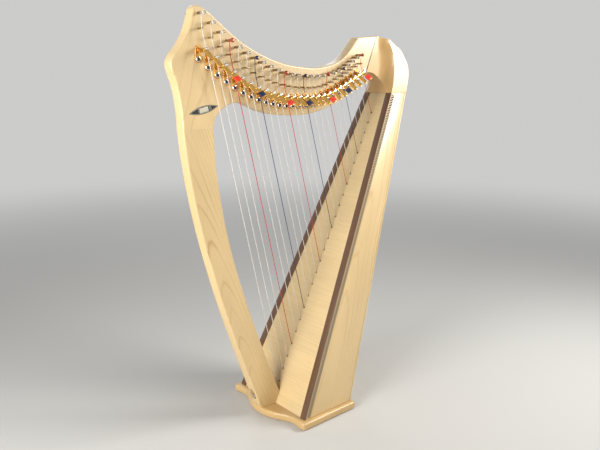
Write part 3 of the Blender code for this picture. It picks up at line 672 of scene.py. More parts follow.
def set_out_tree():
    """Geometry nodes that set a small part out on points, each turned by its point's own turn."""
    tree, source = growing_tree("set_out", Part="Object")
    part = add_node(tree, "GeometryNodeObjectInfo", {"Object": source["Part"]})
    turn = add_node(tree, "GeometryNodeInputNamedAttribute", {"Name": "turn"}, data_type="FLOAT_VECTOR")
    rotation = add_node(tree, "FunctionNodeEulerToRotation", {0: turn.outputs["Attribute"]})
    spread = add_node(tree, "GeometryNodeInstanceOnPoints", {"Points": source["Geometry"],
                                                             "Instance": part.outputs["Geometry"],
                                                             "Rotation": rotation.outputs[0]})
    return finish_tree(tree, spread.outputs[0], source)


set_out = set_out_tree()


def set_out_parts(name, part_mesh, places, finish):
    """One piece made of equal small parts, set out by a list of (place, turn)."""
    points = bpy.data.meshes.new(name + "_points")
    points.from_pydata([place for place, turn in places], [], [])
    turns = points.attributes.new("turn", "FLOAT_VECTOR", "POINT")
    turns.data.foreach_set("vector", [angle for place, turn in places for angle in turn])
    part = bpy.data.objects.new(name + "_part", shaded(part_mesh))
    scene.collection.objects.link(part)
    mesh = grown(bpy.data.objects.new(name, points), set_out, Part=part, Material=finish)
    bpy.data.objects.remove(part)
    add_piece(name, mesh, finish)


# The eyelets' brass is painted very dark: painted shade standing in for the dark string holes and the
# strings' shadows.
shaded_eyelet_brass = metal("shaded_eyelet_brass", (0.26, 0.18, 0.10), 0.40, (0.10, 0.07, 0.04), 0.8)
eyelet = turned_form([(STRING_HOLE, -EYELET_DEPTH), (EYELET_NECK, -EYELET_DEPTH), (EYELET_NECK, 0),
                      (EYELET_OUTER, 0), (EYELET_OUTER * 0.95, EYELET_PROUD * 0.6),
                      (EYELET_OUTER * 0.75, EYELET_PROUD), (STRING_HOLE * 1.1, EYELET_PROUD * 0.7),
                      (EYELET_INNER, -0.0005), (EYELET_INNER, -EYELET_DEPTH),
                      (STRING_HOLE, -EYELET_DEPTH)], 16)
board_turn = board_frame.to_euler()
set_out_parts("string_eyelets", eyelet, [(course.hole, board_turn) for course in courses], shaded_eyelet_brass)

# Edge strips and inlay
# A strip of dark walnut is glued along each long edge of the soundboard. Beside it, on the side
# board, runs a narrow inlaid band of dark wood crossed by slanting light tiles.
WALNUT = (0.130, 0.060, 0.027)
WALNUT_RING = (0.32, 0.18, 0.095)
BAND_DARK = (0.020, 0.012, 0.009)
BAND_DARK_RING = (0.05, 0.03, 0.02)
BAND_LIGHT = (0.70, 0.54, 0.32)
BAND_LIGHT_RING = (0.45, 0.30, 0.15)
BOX_GRAIN = ((0.03, 0.6, 0.016), (0.34, 0.6, 0.656))
FINE_GRAIN = {"ring_width": 0.0012, "waviness": 0.004}
STRIP_EDGE = 0.0006
BAND_WIDTH = 0.0086
BAND_DEPTH = 0.0012
BAND_PROUD = 0.0002
BAND_INSET = 0.0012
BAND_EDGE = 0.0001
TILE_PITCH = 0.0062
TILE_WIDTH = 0.0026
TILE_DEPTH = 0.001
TILE_SLANT = math.radians(38)

walnut = wood("walnut", *BOX_GRAIN, ring_width=0.0036, waviness=0.014, ring_strength=0.60, color=WALNUT,
              ring_color=WALNUT_RING, fibre_size=0.0009, fibre_strength=0.60, roughness=0.28, coat=0.3)
for side in ("left", "right"):
    add_piece(f"{side}_edge_strip", eased_copy(f"edge_strip_{side}", STRIP_EDGE, 2), walnut,
              stands_for=[f"edge_strip_{side}"])


def band_tree():
    """Geometry nodes that lay equal tiles along a line from the origin towards X."""
    tree, source = growing_tree("band", Length="Float", Pitch="Float", Tile="Object")
    count = calculate(tree, "FLOOR", calculate(tree, "DIVIDE", source["Length"], source["Pitch"]))
    step = add_node(tree, "ShaderNodeCombineXYZ", {"X": source["Pitch"]}).outputs[0]
    line = add_node(tree, "GeometryNodeMeshLine", {"Count": count, "Start Location": step, "Offset": step})
    tile = add_node(tree, "GeometryNodeObjectInfo", {"Object": source["Tile"]})
    laid = add_node(tree, "GeometryNodeInstanceOnPoints", {"Points": line.outputs[0],
                                                           "Instance": tile.outputs["Geometry"]})
    return finish_tree(tree, laid.outputs[0], source)


band = band_tree()
band_dark = wood("band_dark", *BOX_GRAIN, **FINE_GRAIN, ring_strength=0.5, color=BAND_DARK,
                 ring_color=BAND_DARK_RING, fibre_size=0.0004, roughness=0.75, coat=0.0)
band_light = wood("band_light", *BOX_GRAIN, **FINE_GRAIN, ring_strength=0.4, color=BAND_LIGHT,
                  ring_color=BAND_LIGHT_RING, fibre_size=0.0004, roughness=0.55, coat=0.1)
strip_feet, strip_tops = end_points("edge_strip_left")
band_foot = Vector((strip_feet[:, 0].max(), strip_feet[:, 1].min(), strip_feet[0, 2]))
band_end = Vector((strip_tops[:, 0].max(), strip_tops[:, 1].min(), strip_tops[0, 2]))
tile_count = math.floor((band_end - band_foot).length / TILE_PITCH) - 1
band_start = Vector((TILE_PITCH / 2, 0, 0))
band_stop = Vector((TILE_PITCH * (tile_count + 0.5), 0, 0))
slant = math.tan(TILE_SLANT) * BAND_WIDTH / 2
for side, mirror in (("left", 1), ("right", -1)):
    foot = Vector((band_foot.x, band_foot.y * mirror, band_foot.z))
    along = Vector((band_end.x, band_end.y * mirror, band_end.z)) - foot
    out = along.cross(Vector((1, 0, 0)))
    out = out if out.y * mirror < 0 else -out
    lie = facing(out, along)
    level = lie.to_3x3().transposed() @ Vector((1, 0, 0))
    level = level / abs(level.y)
    edge = level * BAND_INSET
    back = level * (BAND_INSET + BAND_WIDTH)
    corners = [band_start + edge, band_stop + edge, band_stop + back, band_start + back]
    place = Matrix.Translation(foot) @ lie
    dark_band = rounded_board(corners if level.y > 0 else corners[::-1], -BAND_DEPTH, BAND_PROUD * 0.5,
                              BAND_EDGE, 2)
    add_piece(f"{side}_band", placed(dark_band, place), band_dark)
    lean_x = slant * (1 if level.y > 0 else -1)
    tile_line = [(end * lean_x + width * TILE_WIDTH / 2, end * BAND_WIDTH / 2)
                 for end, width in ((-1, -1), (-1, 1), (1, 1), (1, -1))]
    tile = bpy.data.objects.new("tile", rounded_board(tile_line, -TILE_DEPTH, BAND_PROUD, BAND_EDGE, 1))
    scene.collection.objects.link(tile)
    tiles = grown(bpy.data.objects.new("band", bpy.data.meshes.new("band")), band, Length=band_stop.x,
                  Pitch=TILE_PITCH, Tile=tile, Material=band_light)
    bpy.data.objects.remove(tile)
    add_piece(f"{side}_band_tiles", placed(tiles, place @ Matrix.Translation((edge + back) / 2)), band_light)

# Back panel
# A flat panel closes the box behind. Four oval holes let the sound out and a hand in, to fit the
# strings to their bar.
OVALS = [(0.125, 0.036), (0.250, 0.034), (0.370, 0.031), (0.480, 0.027)]
OVAL_SLIMNESS = 0.72
BACK_EDGE = 0.0015
ACROSS = Matrix.Rotation(math.pi / 2, 4, "Y")

panel_feet, panel_tops = end_points("back_panel")
panel_back = panel_feet[:, 0].max()
lean = (panel_tops[:, 0].max() - panel_back) / (panel_tops[0, 2] - panel_feet[0, 2])
ovals = []
for height, half_height in OVALS:
    level = base_high.z + height
    centre = Vector((panel_back + lean * (level - panel_feet[0, 2]), 0, level))
    bore = rod(half_height, -half_height / 2, half_height / 2, 64)
    squeeze = Matrix.Diagonal((1, OVAL_SLIMNESS, 1, 1))
    ovals.append(placed(bore, Matrix.Translation(centre) @ ACROSS @ squeeze))
panel = carved(eased_copy("back_panel", BACK_EDGE, filled=True), gathered(ovals))
back_maple = wood("back_maple", (0.07, 0.02, 0.016), (0.31, -0.01, 0.656), ring_width=0.0045, waviness=0.03,
                  ring_strength=0.36)
add_piece("back_board", panel, back_maple, stands_for=["back_panel"])

# Shoulder
# A maple block joins the neck to the soundbox. It is scooped below in one round. A cove on each
# cheek leads from the thin neck out to the full width of the box, and narrows towards the crest.
# Its maple is coloured darker than the other maple, as painted shade for the coves.
SHOULDER_SHADED_COLOR = (0.68, 0.43, 0.17)
SHOULDER_SECTION = 0.001
NECK_SECTION = 0.0004
COVE_RADIUS = 0.035
COVE_REACH = 2.2 * COVE_RADIUS
COVE_STEPS = 24
COVE_LINE = [(-0.0375, -0.016), (-0.0310, 0.0106), (-0.0235, 0.0298), (-0.0172, 0.0587), (-0.0172, 0.0755),
             (-0.0200, 0.144)]
COVE_FAR = 0.10
COVE_NARROWING = 0.28
NARROWING_START = 0.0737
NARROWING_HEIGHT = 0.030
NARROWED_FROM = COVE_LINE[0][0] - 0.002
CREST_ROUNDING = 0.003
CREST_TURN = math.radians(40)
CREST_LOWEST = 0.004
RIM_SLOPE = 0.5
RIM_TILT = 0.15
JOINT_CLEARANCE = 0.002
JOINT_HALF_WIDTH = 0.0128
LEAST_EDGE = 1e-5
UPRIGHT = Matrix.Rotation(math.pi / 2, 4, "X")

box_feet, box_tops = end_points("soundbox")
SEAM_HALF = box_tops[:, 1].max()
SEAM = Vector((BOARD_TOP.x - (BOARD_FOOT.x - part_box("edge_strip_left")[0].x), 0, box_tops[0, 2]))
taper = (SEAM_HALF - box_feet[:, 1].max()) / (SEAM.z - box_feet[:, 2].min())


def side_section(node, depth):
    """A solid's outline beside the plane of the strings, as flat points of X and height."""
    return [Vector((point.x, point.z, 0)) for point in section_outline(node, (0, depth, 0), (0, 1, 0))]


neck_section = side_section("neck", NECK_SECTION)
joint_high = max(neck_section, key=lambda point: point.x)
shoulder_line, shoulder_square = eased_outline(side_section("shoulder", SHOULDER_SECTION))
shoulder = rounded_board(shoulder_line, -SEAM_HALF, SEAM_HALF, LEAST_EDGE, 1, square=shoulder_square)
shoulder.transform(UPRIGHT)
for vert in shoulder.vertices:
    vert.co.y *= (SEAM_HALF + taper * (vert.co.z - SEAM.z)) / SEAM_HALF
cove_knots = [Vector((SEAM.x + x, SEAM.z + z, 0)) for x, z in COVE_LINE]
cove_run = [*eased_run(cove_knots), cove_knots[-1]]
cove_far = Vector((COVE_FAR, 0, 0))
cove_line = cove_run + [cove_run[-1] - cove_far, cove_run[0] - cove_far]
for side in (-1, 1):
    near, far = sorted((side * -NEAR_FACE, side * (-NEAR_FACE + COVE_REACH)))
    cove = rounded_board(cove_line, near, far, COVE_RADIUS, COVE_STEPS, COVE_RADIUS)
    cove.transform(UPRIGHT)
    for vert in cove.vertices:
        depth = min(abs(vert.co.y) + NEAR_FACE, COVE_RADIUS)
        spread = math.sqrt(max(0.0, COVE_RADIUS ** 2 - (COVE_RADIUS - depth) ** 2))
        climb = max(0.0, (vert.co.z - SEAM.z - NARROWING_START) / NARROWING_HEIGHT)
        if vert.co.x > SEAM.x + NARROWED_FROM:
            vert.co.x -= spread * min(COVE_NARROWING, COVE_NARROWING * climb * climb)
    shoulder = carved(shoulder, cove)


def beside_joint(vert):
    """Whether a point of the shoulder's crest lies in its joint with the neck."""
    return (vert.co.xz - joint_high.xy).length <= JOINT_CLEARANCE and abs(vert.co.y) <= JOINT_HALF_WIDTH


form = bmesh.new()
form.from_mesh(shoulder)
bmesh.ops.remove_doubles(form, verts=form.verts, dist=SAME_POINT)
rim = {face for face in form.faces
       if face.normal.x + face.normal.z > RIM_SLOPE and abs(face.normal.y) < RIM_TILT}
crest = [edge for edge in form.edges if edge.is_manifold and edge.calc_face_angle() > CREST_TURN
         and (edge.link_faces[0] in rim) != (edge.link_faces[1] in rim)
         and min(vert.co.z for vert in edge.verts) > SEAM.z + CREST_LOWEST
         and not any(beside_joint(vert) for vert in edge.verts)]
bmesh.ops.bevel(form, geom=crest, offset=CREST_ROUNDING, segments=4, profile=0.5, affect="EDGES",
                clamp_overlap=True)
form.to_mesh(shoulder)
form.free()
# The whole block's colour is darker than the other maple: painted shade that stands in for the shade in the
# coves.
shaded_shoulder_maple = wood("shaded_shoulder_maple", (0.30, 0.06, 0.62), (0.34, 0.02, 0.80), ring_width=0.011,
                      waviness=0.03, ring_strength=0.18, color=SHOULDER_SHADED_COLOR)
add_piece("shoulder_block", shoulder, shaded_shoulder_maple, stands_for=["shoulder"])

# Pillar
# A bowed maple board that stands on the base and is glued under the neck. A bolt in a slanting
# counterbore, with a plated washer under its head, holds its foot to the soundbox.
PILLAR_ROUNDING = 0.0028
PILLAR_SECTION = 0.0100
PILLAR_FRONT = -0.03
BOLT_BORE_RADIUS = 0.0085
BOLT_BORE_DEPTH = 0.019
BOLT_HEIGHT = 0.0335
BOLT_SLOPE = math.radians(30)
BOLT_HEAD_RADIUS = 0.0064
BOLT_HEAD_LENGTH = 0.0095
BOLT_HEAD_EDGE = 0.0008
BOLT_HEAD_LIFT = 0.0015
SOCKET_RADIUS = BOLT_HEAD_RADIUS * 0.52
WASHER_HOLE = BOLT_HEAD_RADIUS * 0.5
WASHER_RADIUS = 0.0082
WASHER_THICK = 0.0013
WASHER_EDGE = 0.0003
WASHER_LIFT = 0.0002

pillar_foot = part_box("pillar")[0].z
pillar_line, pillar_square = eased_outline(side_section("pillar", PILLAR_SECTION),
                                           lambda point: point.y < pillar_foot + SAME_LEVEL)
pillar = rounded_board(pillar_line, NEAR_FACE, -NEAR_FACE, PILLAR_ROUNDING, square=pillar_square)
pillar.transform(UPRIGHT)
bolt_level = pillar_foot + BOLT_HEIGHT
bolt_front = min((abs(point.y - bolt_level), point.x) for point in pillar_line if point.x < PILLAR_FRONT)[1]
bolt_inward = Vector((math.cos(BOLT_SLOPE), 0, -math.sin(BOLT_SLOPE)))
bolt_floor = Vector((bolt_front, 0, bolt_level)) + bolt_inward * BOLT_BORE_DEPTH
bolt_frame = Matrix.Translation(bolt_floor) @ facing(-bolt_inward)
pillar = carved(pillar, placed(rod(BOLT_BORE_RADIUS, 0, 2 * BOLT_BORE_DEPTH, 40), bolt_frame))
pillar_maple = wood("pillar_maple", (-0.035, 0.018, 0.02), (-0.215, 0.048, 0.60), ring_width=0.0042,
                    waviness=0.016, ring_strength=0.62)
add_piece("pillar_board", pillar, pillar_maple, stands_for=["pillar"])
nickel = metal("nickel", (0.80, 0.80, 0.78), 0.20, (0.52, 0.51, 0.49), 0.5)
washer = turned_form([(WASHER_HOLE, 0), (WASHER_RADIUS, 0), (WASHER_RADIUS, WASHER_THICK - WASHER_EDGE),
                      (WASHER_RADIUS - WASHER_EDGE, WASHER_THICK), (WASHER_HOLE, WASHER_THICK),
                      (WASHER_HOLE, 0)], 40)
add_piece("bolt_washer", placed(washer, bolt_frame @ Matrix.Translation((0, 0, WASHER_LIFT))), nickel)
bolt_head = turned_form([(0, 0), (BOLT_HEAD_RADIUS, 0), (BOLT_HEAD_RADIUS, BOLT_HEAD_LENGTH - BOLT_HEAD_EDGE),
                         (BOLT_HEAD_RADIUS - BOLT_HEAD_EDGE, BOLT_HEAD_LENGTH), (0, BOLT_HEAD_LENGTH)], 36)
bolt_head = carved(bolt_head, rod(SOCKET_RADIUS, BOLT_HEAD_LENGTH * 0.4, BOLT_HEAD_LENGTH * 1.2, 6))
add_piece("bolt_head", placed(bolt_head, bolt_frame @ Matrix.Translation((0, 0, BOLT_HEAD_LIFT))), nickel)

# Neck
# A flat maple board with a double curve, glued between the pillar and the shoulder. A dark veneer
# shows as a line in the joint with the shoulder, and a thinner one where the box begins.
NECK_ROUNDING = 0.0028
VENEER = (0.014, 0.009, 0.006)
VENEER_RING = (0.04, 0.02, 0.01)
VENEER_THICK = 0.0024
VENEER_PROUD = 0.0002
GLUE_COLOR = (0.30, 0.19, 0.09)
GLUE_RING = (0.20, 0.12, 0.06)
GLUE_THICK = 0.0011
SAME_CORNER = 0.001
CORNER_EASE = 0.016
EASE_ROUNDS = 24
SEAM_LINE = 0.00035
SEAM_SHY = 0.0002

joint_low = min(shoulder_line, key=lambda point: point.x)
neck_line, neck_square = eased_outline(neck_section, lambda point: (point - joint_low).length < SAME_CORNER)
neck_square[min(range(len(neck_line)), key=lambda number: (neck_line[number] - joint_high).length)] = False
leftmost = min(neck_line, key=lambda point: point.x)
for again in range(EASE_ROUNDS):
    neck_line = [(before + here * 2 + after) / 4 if (here - leftmost).length < CORNER_EASE else here
                 for before, here, after in in_threes(neck_line)]
neck = rounded_board(neck_line, NEAR_FACE, -NEAR_FACE, NECK_ROUNDING, square=neck_square)
neck.transform(UPRIGHT)
neck_maple = wood("neck_maple", (-0.17, 0.060, 0.50), (-0.12, 0.085, 0.85), ring_width=0.0085, waviness=0.050,
                  ring_strength=0.40)
add_piece("neck_board", neck, neck_maple, stands_for=["neck"])
veneer = wood("veneer", (0.3, 0.2, 0.65), (0.28, 0.2, 0.80), **FINE_GRAIN, ring_strength=0.5, color=VENEER,
              ring_color=VENEER_RING, fibre_size=0.0004, roughness=0.4)
glue_line = wood("glue_line", (0.3, 0.2, 0.65), (0.4, 0.2, 0.65), **FINE_GRAIN, ring_strength=0.5,
                 color=GLUE_COLOR, ring_color=GLUE_RING)


def rectangle(low, high):
    """Outline from a low to a high corner, anticlockwise."""
    return [(low[0], low[1]), (high[0], low[1]), (high[0], high[1]), (low[0], high[1])]


def block(low, high, edge=LEAST_EDGE, steps=2):
    """A box from its low to its high corner, with rounded long edges."""
    return rounded_board(rectangle(low, high), low[2], high[2], edge, steps)


def joint_layer(name, low, high, thick, finish, slot):
    """A thin layer across the board in the joint between two points of its outline."""
    up = high - low
    middle = (low + high) / 2
    place = Matrix.Translation((middle.x, 0, middle.y)) @ Matrix.Rotation(math.atan2(up.x, up.y), 4, "Y")
    reach = up.length / 2 - 3 * VENEER_PROUD
    layer = rounded_board(rectangle((-thick / 2, -reach), (thick / 2, reach)), NEAR_FACE - VENEER_PROUD,
                          -NEAR_FACE + VENEER_PROUD, NECK_ROUNDING, grow=VENEER_PROUD,
                          square=[False, True, False, True])
    add_piece(name, placed(layer, place @ UPRIGHT), finish)


square_edges = [(here, after) for (before, here, after), square in zip(in_threes(neck_line), neck_square)
                if square]
joint_ends = sorted(square_edges, key=lambda ends: ends[0].x)
joint_layer("neck_joint_veneer", *joint_ends[-1], VENEER_THICK, veneer, "walnut")
joint_layer("pillar_joint_glue", *joint_ends[0], GLUE_THICK, neck_maple, "maple")
seam_low = Vector((SEAM.x + SEAM_SHY, -SEAM_HALF, SEAM.z - SEAM_LINE / 2))
seam_high = Vector((box_tops[:, 0].max(), SEAM_HALF, SEAM.z + SEAM_LINE * 1.5))
add_piece("seam_veneer", block(seam_low, seam_high), glue_line)

# Badge
# A small lens-shaped plate let into the bass end of the harp's near side: black with a pale rim, a
# bare pale panel in its middle and pale lines beside it.
BADGE_ENDS = [(-0.1830, 0.6258), (-0.1228, 0.6388)]
BADGE_HEIGHT = 0.0138
BADGE_PROUD = 0.0003
BADGE_DEPTH = 0.0005
BADGE_EDGE = 0.00008


def lens(length, height, steps=20):
    """Outline of a lens of that length and height round the origin, anticlockwise."""
    radius = (length * length / 4 + height * height / 4) / height
    reach = math.asin(length / 2 / radius)
    under = [Vector((radius * math.sin(angle), -radius * math.cos(angle) + radius - height / 2, 0))
             for angle in np.linspace(-reach, reach, steps)[:-1]]
    return under + [-point for point in under]


def enamel(name, color, roughness):
    """A plain hard paint, slightly uneven."""
    finish, tree, space = new_finish(name)
    worn = calculate(tree, "MULTIPLY", noise(tree, space, 600, 3.0), 0.3)
    dress(tree, {"Base Color": mixed(tree, worn, shade(color), shade(color, 0.7)), "Roughness": roughness})
    return finish


badge_low, badge_high = (Vector((x, 0, z)) for x, z in BADGE_ENDS)
badge_along = badge_high - badge_low
badge_tilt = Matrix.Rotation(-math.atan2(badge_along.z, badge_along.x), 4, "Y")
badge_place = Matrix.Translation((badge_low + badge_high) / 2) @ badge_tilt @ UPRIGHT
badge_black = enamel("badge_black", (0.006, 0.006, 0.007), 0.55)
badge_pale = enamel("badge_pale", (0.60, 0.57, 0.44), 0.45)


def badge_part(name, outline, lift, finish):
    """A thin flat part of the badge, raised by a multiple of its height."""
    part = rounded_board(outline, -NEAR_FACE - BADGE_DEPTH, -NEAR_FACE + BADGE_PROUD * lift, BADGE_EDGE, 2)
    add_piece(name, placed(part, badge_place), finish)


for name, length_share, height_share, lift, finish in (("badge_edge", 1.0, 1.0, 1.0, badge_black),
                                                       ("badge_rim", 0.945, 0.87, 1.3, badge_pale),
                                                       ("badge_field", 0.915, 0.79, 1.6, badge_black)):
    badge_part(name, lens(badge_along.length * length_share, BADGE_HEIGHT * height_share), lift, finish)
for name, left, right, height_share, lift in (("badge_panel", -0.0090, 0.0095, 0.31, 2.0),
                                              ("badge_line_0", -0.0111, -0.0105, 0.26, 1.9),
                                              ("badge_line_1", 0.0122, 0.0128, 0.26, 1.9),
                                              ("badge_line_2", 0.0147, 0.0153, 0.26, 1.9)):
    half = BADGE_HEIGHT * height_share
    badge_part(name, rectangle((left, -half), (right, half)), lift, badge_pale)

# Strings
# Nylon strings run from the pins over the bridge pins to the soundboard. Each is knotted behind a
# hardwood bar inside the box. Every C is red and every F dark blue, so that a player can find them.
STRING_COLORS = {"C": (0.62, 0.035, 0.030), "F": (0.012, 0.022, 0.12), "G": (0.80, 0.77, 0.70)}
STRING_SIDES = 10
STRING_BEND = 0.0025
WINDING_LIFT = 0.0162
BAR_WIDTH = 0.014
BAR_THICK = 0.004
BAR_EDGE = 0.0008
KNOT_RADIUS = 0.0008
KNOT_LIFT = 0.0014


def tube_tree():
    """Geometry nodes that make tubes along lines, as thick as their points' own thickness."""
    tree, source = growing_tree("tubes", Sides="Int")
    curve = add_node(tree, "GeometryNodeMeshToCurve", {"Mesh": source["Geometry"]})
    thickness = add_node(tree, "GeometryNodeInputNamedAttribute", {"Name": "thickness"}, data_type="FLOAT")
    ring = add_node(tree, "GeometryNodeCurvePrimitiveCircle", {"Resolution": source["Sides"], "Radius": 1.0},
                    mode="RADIUS")
    tube = add_node(tree, "GeometryNodeCurveToMesh", {"Curve": curve.outputs[0],
                                                      "Profile Curve": ring.outputs[0],
                                                      "Scale": thickness.outputs[0], "Fill Caps": True})
    return finish_tree(tree, tube.outputs[0], source)


tubes = tube_tree()


def tube_mesh(lines, finish):
    """A mesh of tubes along (points, radius) lines."""
    points = []
    edges = []
    radii = []
    for line, radius in lines:
        edges += [(number, number + 1) for number in range(len(points), len(points) + len(line) - 1)]
        points += line
        radii += [radius] * len(line)
    mesh = bpy.data.meshes.new("lines")
    mesh.from_pydata(points, edges, [])
    mesh.attributes.new("thickness", "FLOAT", "POINT").data.foreach_set("value", radii)
    return outward(grown(bpy.data.objects.new("tubes", mesh), tubes, Sides=STRING_SIDES, Material=finish))


def rounded_path(points, reach, steps=5):
    """A line with each of its corners rounded over a reach."""
    line = [points[0]]
    for before, corner, after in zip(points, points[1:], points[2:]):
        start = corner + (before - corner).normalized() * min(reach, (before - corner).length * 0.45)
        end = corner + (after - corner).normalized() * min(reach, (after - corner).length * 0.45)
        line += [start.lerp(corner, t).lerp(corner.lerp(end, t), t) for t in np.linspace(0, 1, steps)]
    return line + [points[-1]]


def nylon(name, color):
    """Smooth nylon that lets a little light through."""
    finish, tree, space = new_finish(name)
    streaks = calculate(tree, "MULTIPLY", noise(tree, stretched(tree, space, (1, 1, 0.05)), 900), 0.35)
    dress(tree, {"Base Color": mixed(tree, streaks, shade(color), shade(color, 0.75)), "Roughness": 0.22,
                 "IOR": 1.53, "Transmission Weight": 0.15})
    return finish


nylons = {note: nylon(f"nylon_{note}", color) for note, color in STRING_COLORS.items()}


def nylon_of(course):
    """The nylon of a string: C and F have their own, and all others have that of G."""
    return nylons.get(course.note, nylons["G"])


for note, finish in nylons.items():
    lines = []
    for course in courses:
        if nylon_of(course) == finish:
            start = Vector((course.pin.x - course.coil_radius - 2 * course.radius - STRING_GAP,
                            NEAR_FACE - WINDING_LIFT, course.pin.z))
            over = course.hole + BOARD_OUT * course.radius * 2
            inside = course.hole - BOARD_OUT * (BOARD_THICK + BAR_THICK / 2)
            lines.append((rounded_path([start, course.bend, over, inside], STRING_BEND), course.radius))
    add_piece(f"strings_{note}", tube_mesh(lines, finish), finish)
first, last = ((course.hole - BOARD_FOOT).dot(BOARD_ALONG) for course in (courses[0], courses[-1]))
bar_top = -BOARD_THICK - STRING_GAP
bar = block((-BAR_WIDTH / 2, -last - BAR_WIDTH / 4, bar_top - BAR_THICK),
            (BAR_WIDTH / 2, -first + BAR_WIDTH / 2, bar_top), BAR_EDGE)
add_piece("string_bar", placed(bar, Matrix.Translation(BOARD_FOOT) @ board_frame), side_maple,
          stands_for=["strings"])
knot_line = [Vector((0.0016 * math.sin(2 * angle), 0.0022 * math.sin(angle), 0.0012 * math.cos(3 * angle)))
             for angle in np.linspace(0, 2 * math.pi, 17)]
knot = tube_mesh([(knot_line, KNOT_RADIUS)], nylons["G"])
knot_depth = BOARD_THICK + BAR_THICK + STRING_GAP + KNOT_LIFT
knot_places = [(course.hole - BOARD_OUT * knot_depth, board_turn) for course in courses]
set_out_parts("string_knots", knot, knot_places, nylons["G"])

# Bridge pins
# Under each tuning pin a fixed pin leads its string down past the lever. One end is driven into
# the neck, and a groove near the other holds the string.
BRIDGE_PIN_REACH = 0.017
BRIDGE_PIN_START = 0.008
GROOVE_HALF = 0.0014
GROOVE_RADIUS = BRIDGE_PIN_RADIUS * 0.86

bridge_brass = metal("bridge_brass", (0.50, 0.38, 0.20), 0.32, (0.16, 0.10, 0.05), 0.7)
tip = -NEAR_FACE + BRIDGE_PIN_REACH
groove = -NEAR_FACE + STRING_LIFT
bridge_pin = turned_form([(0, BRIDGE_PIN_START), (BRIDGE_PIN_RADIUS, BRIDGE_PIN_START),
                          (BRIDGE_PIN_RADIUS, groove - GROOVE_HALF), (GROOVE_RADIUS, groove - 0.0006),
                          (BRIDGE_PIN_RADIUS * 0.82, groove), (GROOVE_RADIUS, groove + 0.0006),
                          (BRIDGE_PIN_RADIUS, groove + GROOVE_HALF), (BRIDGE_PIN_RADIUS, tip - 0.0006),
                          (BRIDGE_PIN_RADIUS * 0.7, tip), (0, tip)], 20)
bridge_pin.transform(UPRIGHT)
bridge_places = [(Vector((course.pin.x, 0, course.bend.z)), (0, 0, 0)) for course in courses]
set_out_parts("bridge_pins", bridge_pin, bridge_places, bridge_brass)

# Lever brackets
# The fixed half of each lever is a brass plate with an ear folded up along its edge. One screw
# with a plated head holds it to the neck, and the ear carries the pivot.
PIVOT_LIFT = 0.0170
PIVOT_BORE = 0.00165
PIVOT_BORE_HALF = 0.02
PLATE_THICK = 0.0012
PLATE_SUNK = 0.0004
PLATE_ROUNDING = 0.0003
PLATE_END = Vector((-0.0080, 0.0035, 0))
PLATE_END_RADIUS = 0.0052
SCREW_PLACE = Vector((-0.0128, -0.0145, 0))
SCREW_END_RADIUS = 0.0066
SLOT_HALF_LENGTH = 0.0020
SLOT_HALF_WIDTH = 0.0004
SLOT_FLOOR = 0.0009
SLOT_TOP = 0.003
EAR_PLACE = -0.0114
EAR_THICK = 0.0012
EAR_HALF_WIDTH = 0.0060
EAR_TIP_RADIUS = 0.0032
EAR_ROUNDING = 0.00025
SIDEWAYS = Matrix(((0, 0, 1, 0), (1, 0, 0, 0), (0, 1, 0, 0), (0, 0, 0, 1)))


def hull_outline(first, first_radius, second, second_radius, steps=20):
    """Outline round two circles, anticlockwise, such as a lever plate's."""
    across = second - first
    tilt = math.atan2(across.y, across.x)
    opening = math.acos((first_radius - second_radius) / across.length)
    outline = []
    for centre, radius, start, end in ((second, second_radius, tilt - opening, tilt + opening),
                                       (first, first_radius, tilt + opening, tilt + 2 * math.pi - opening)):
        for angle in np.linspace(start, end, steps):
            outline.append(centre + Vector((radius * math.cos(angle), radius * math.sin(angle), 0)))
    return outline


plate_line = hull_outline(SCREW_PLACE, SCREW_END_RADIUS, PLATE_END, PLATE_END_RADIUS)
plate = rounded_board(plate_line, -PIVOT_LIFT - PLATE_SUNK, -PIVOT_LIFT + PLATE_THICK, PLATE_ROUNDING, 3)
plate.transform(UPRIGHT)
ear_foot = PIVOT_LIFT - PLATE_THICK / 2
ear_line = [(ear_foot, -EAR_HALF_WIDTH), (ear_foot, EAR_HALF_WIDTH)]
ear_line += [(-EAR_TIP_RADIUS * math.sin(angle), EAR_TIP_RADIUS * math.cos(angle))
             for angle in np.linspace(0, math.pi, 18)]
ear = rounded_board(ear_line, EAR_PLACE - EAR_THICK / 2, EAR_PLACE + EAR_THICK / 2, EAR_ROUNDING, 2)
ear.transform(SIDEWAYS)
ear_bore = placed(rod(PIVOT_BORE, -PIVOT_BORE_HALF, PIVOT_BORE_HALF, 24), ACROSS)
bracket = carved(carved(plate, ear, "UNION"), ear_bore)
brass = metal("lever_brass", (0.84, 0.50, 0.14), 0.20, (0.62, 0.31, 0.07), 0.7)
black_steel = metal("black_steel", (0.10, 0.10, 0.105), 0.38, (0.03, 0.03, 0.03), 0.5)
lever_places = [(course.pivot, (0, -course.turn, 0)) for course in courses]
set_out_parts("lever_brackets", bracket, lever_places, brass)
screw_at = Matrix.Translation((SCREW_PLACE.x, PIVOT_LIFT - PLATE_THICK, SCREW_PLACE.y)) @ UPRIGHT
screw_ring = turned_form([(0.0020, -0.0004), (0.0048, -0.0004), (0.0049, 0.0002), (0.0044, 0.0010),
                          (0.0036, 0.0013), (0.0031, 0.0009), (0.0020, 0.0004), (0.0020, -0.0004)], 32)
set_out_parts("screw_heads", placed(screw_ring, screw_at), lever_places, nickel)
screw_core = turned_form([(0, 0), (0.0032, 0), (0.0029, 0.0010), (0.0018, 0.0015), (0, 0.0016)], 24)
slots = [block((-x, -y, SLOT_FLOOR), (x, y, SLOT_TOP))
         for x, y in ((SLOT_HALF_LENGTH, SLOT_HALF_WIDTH), (SLOT_HALF_WIDTH, SLOT_HALF_LENGTH))]
screw_core = carved(screw_core, carved(*slots, "UNION"))
set_out_parts("screw_cores", placed(screw_core, screw_at), lever_places, black_steel)

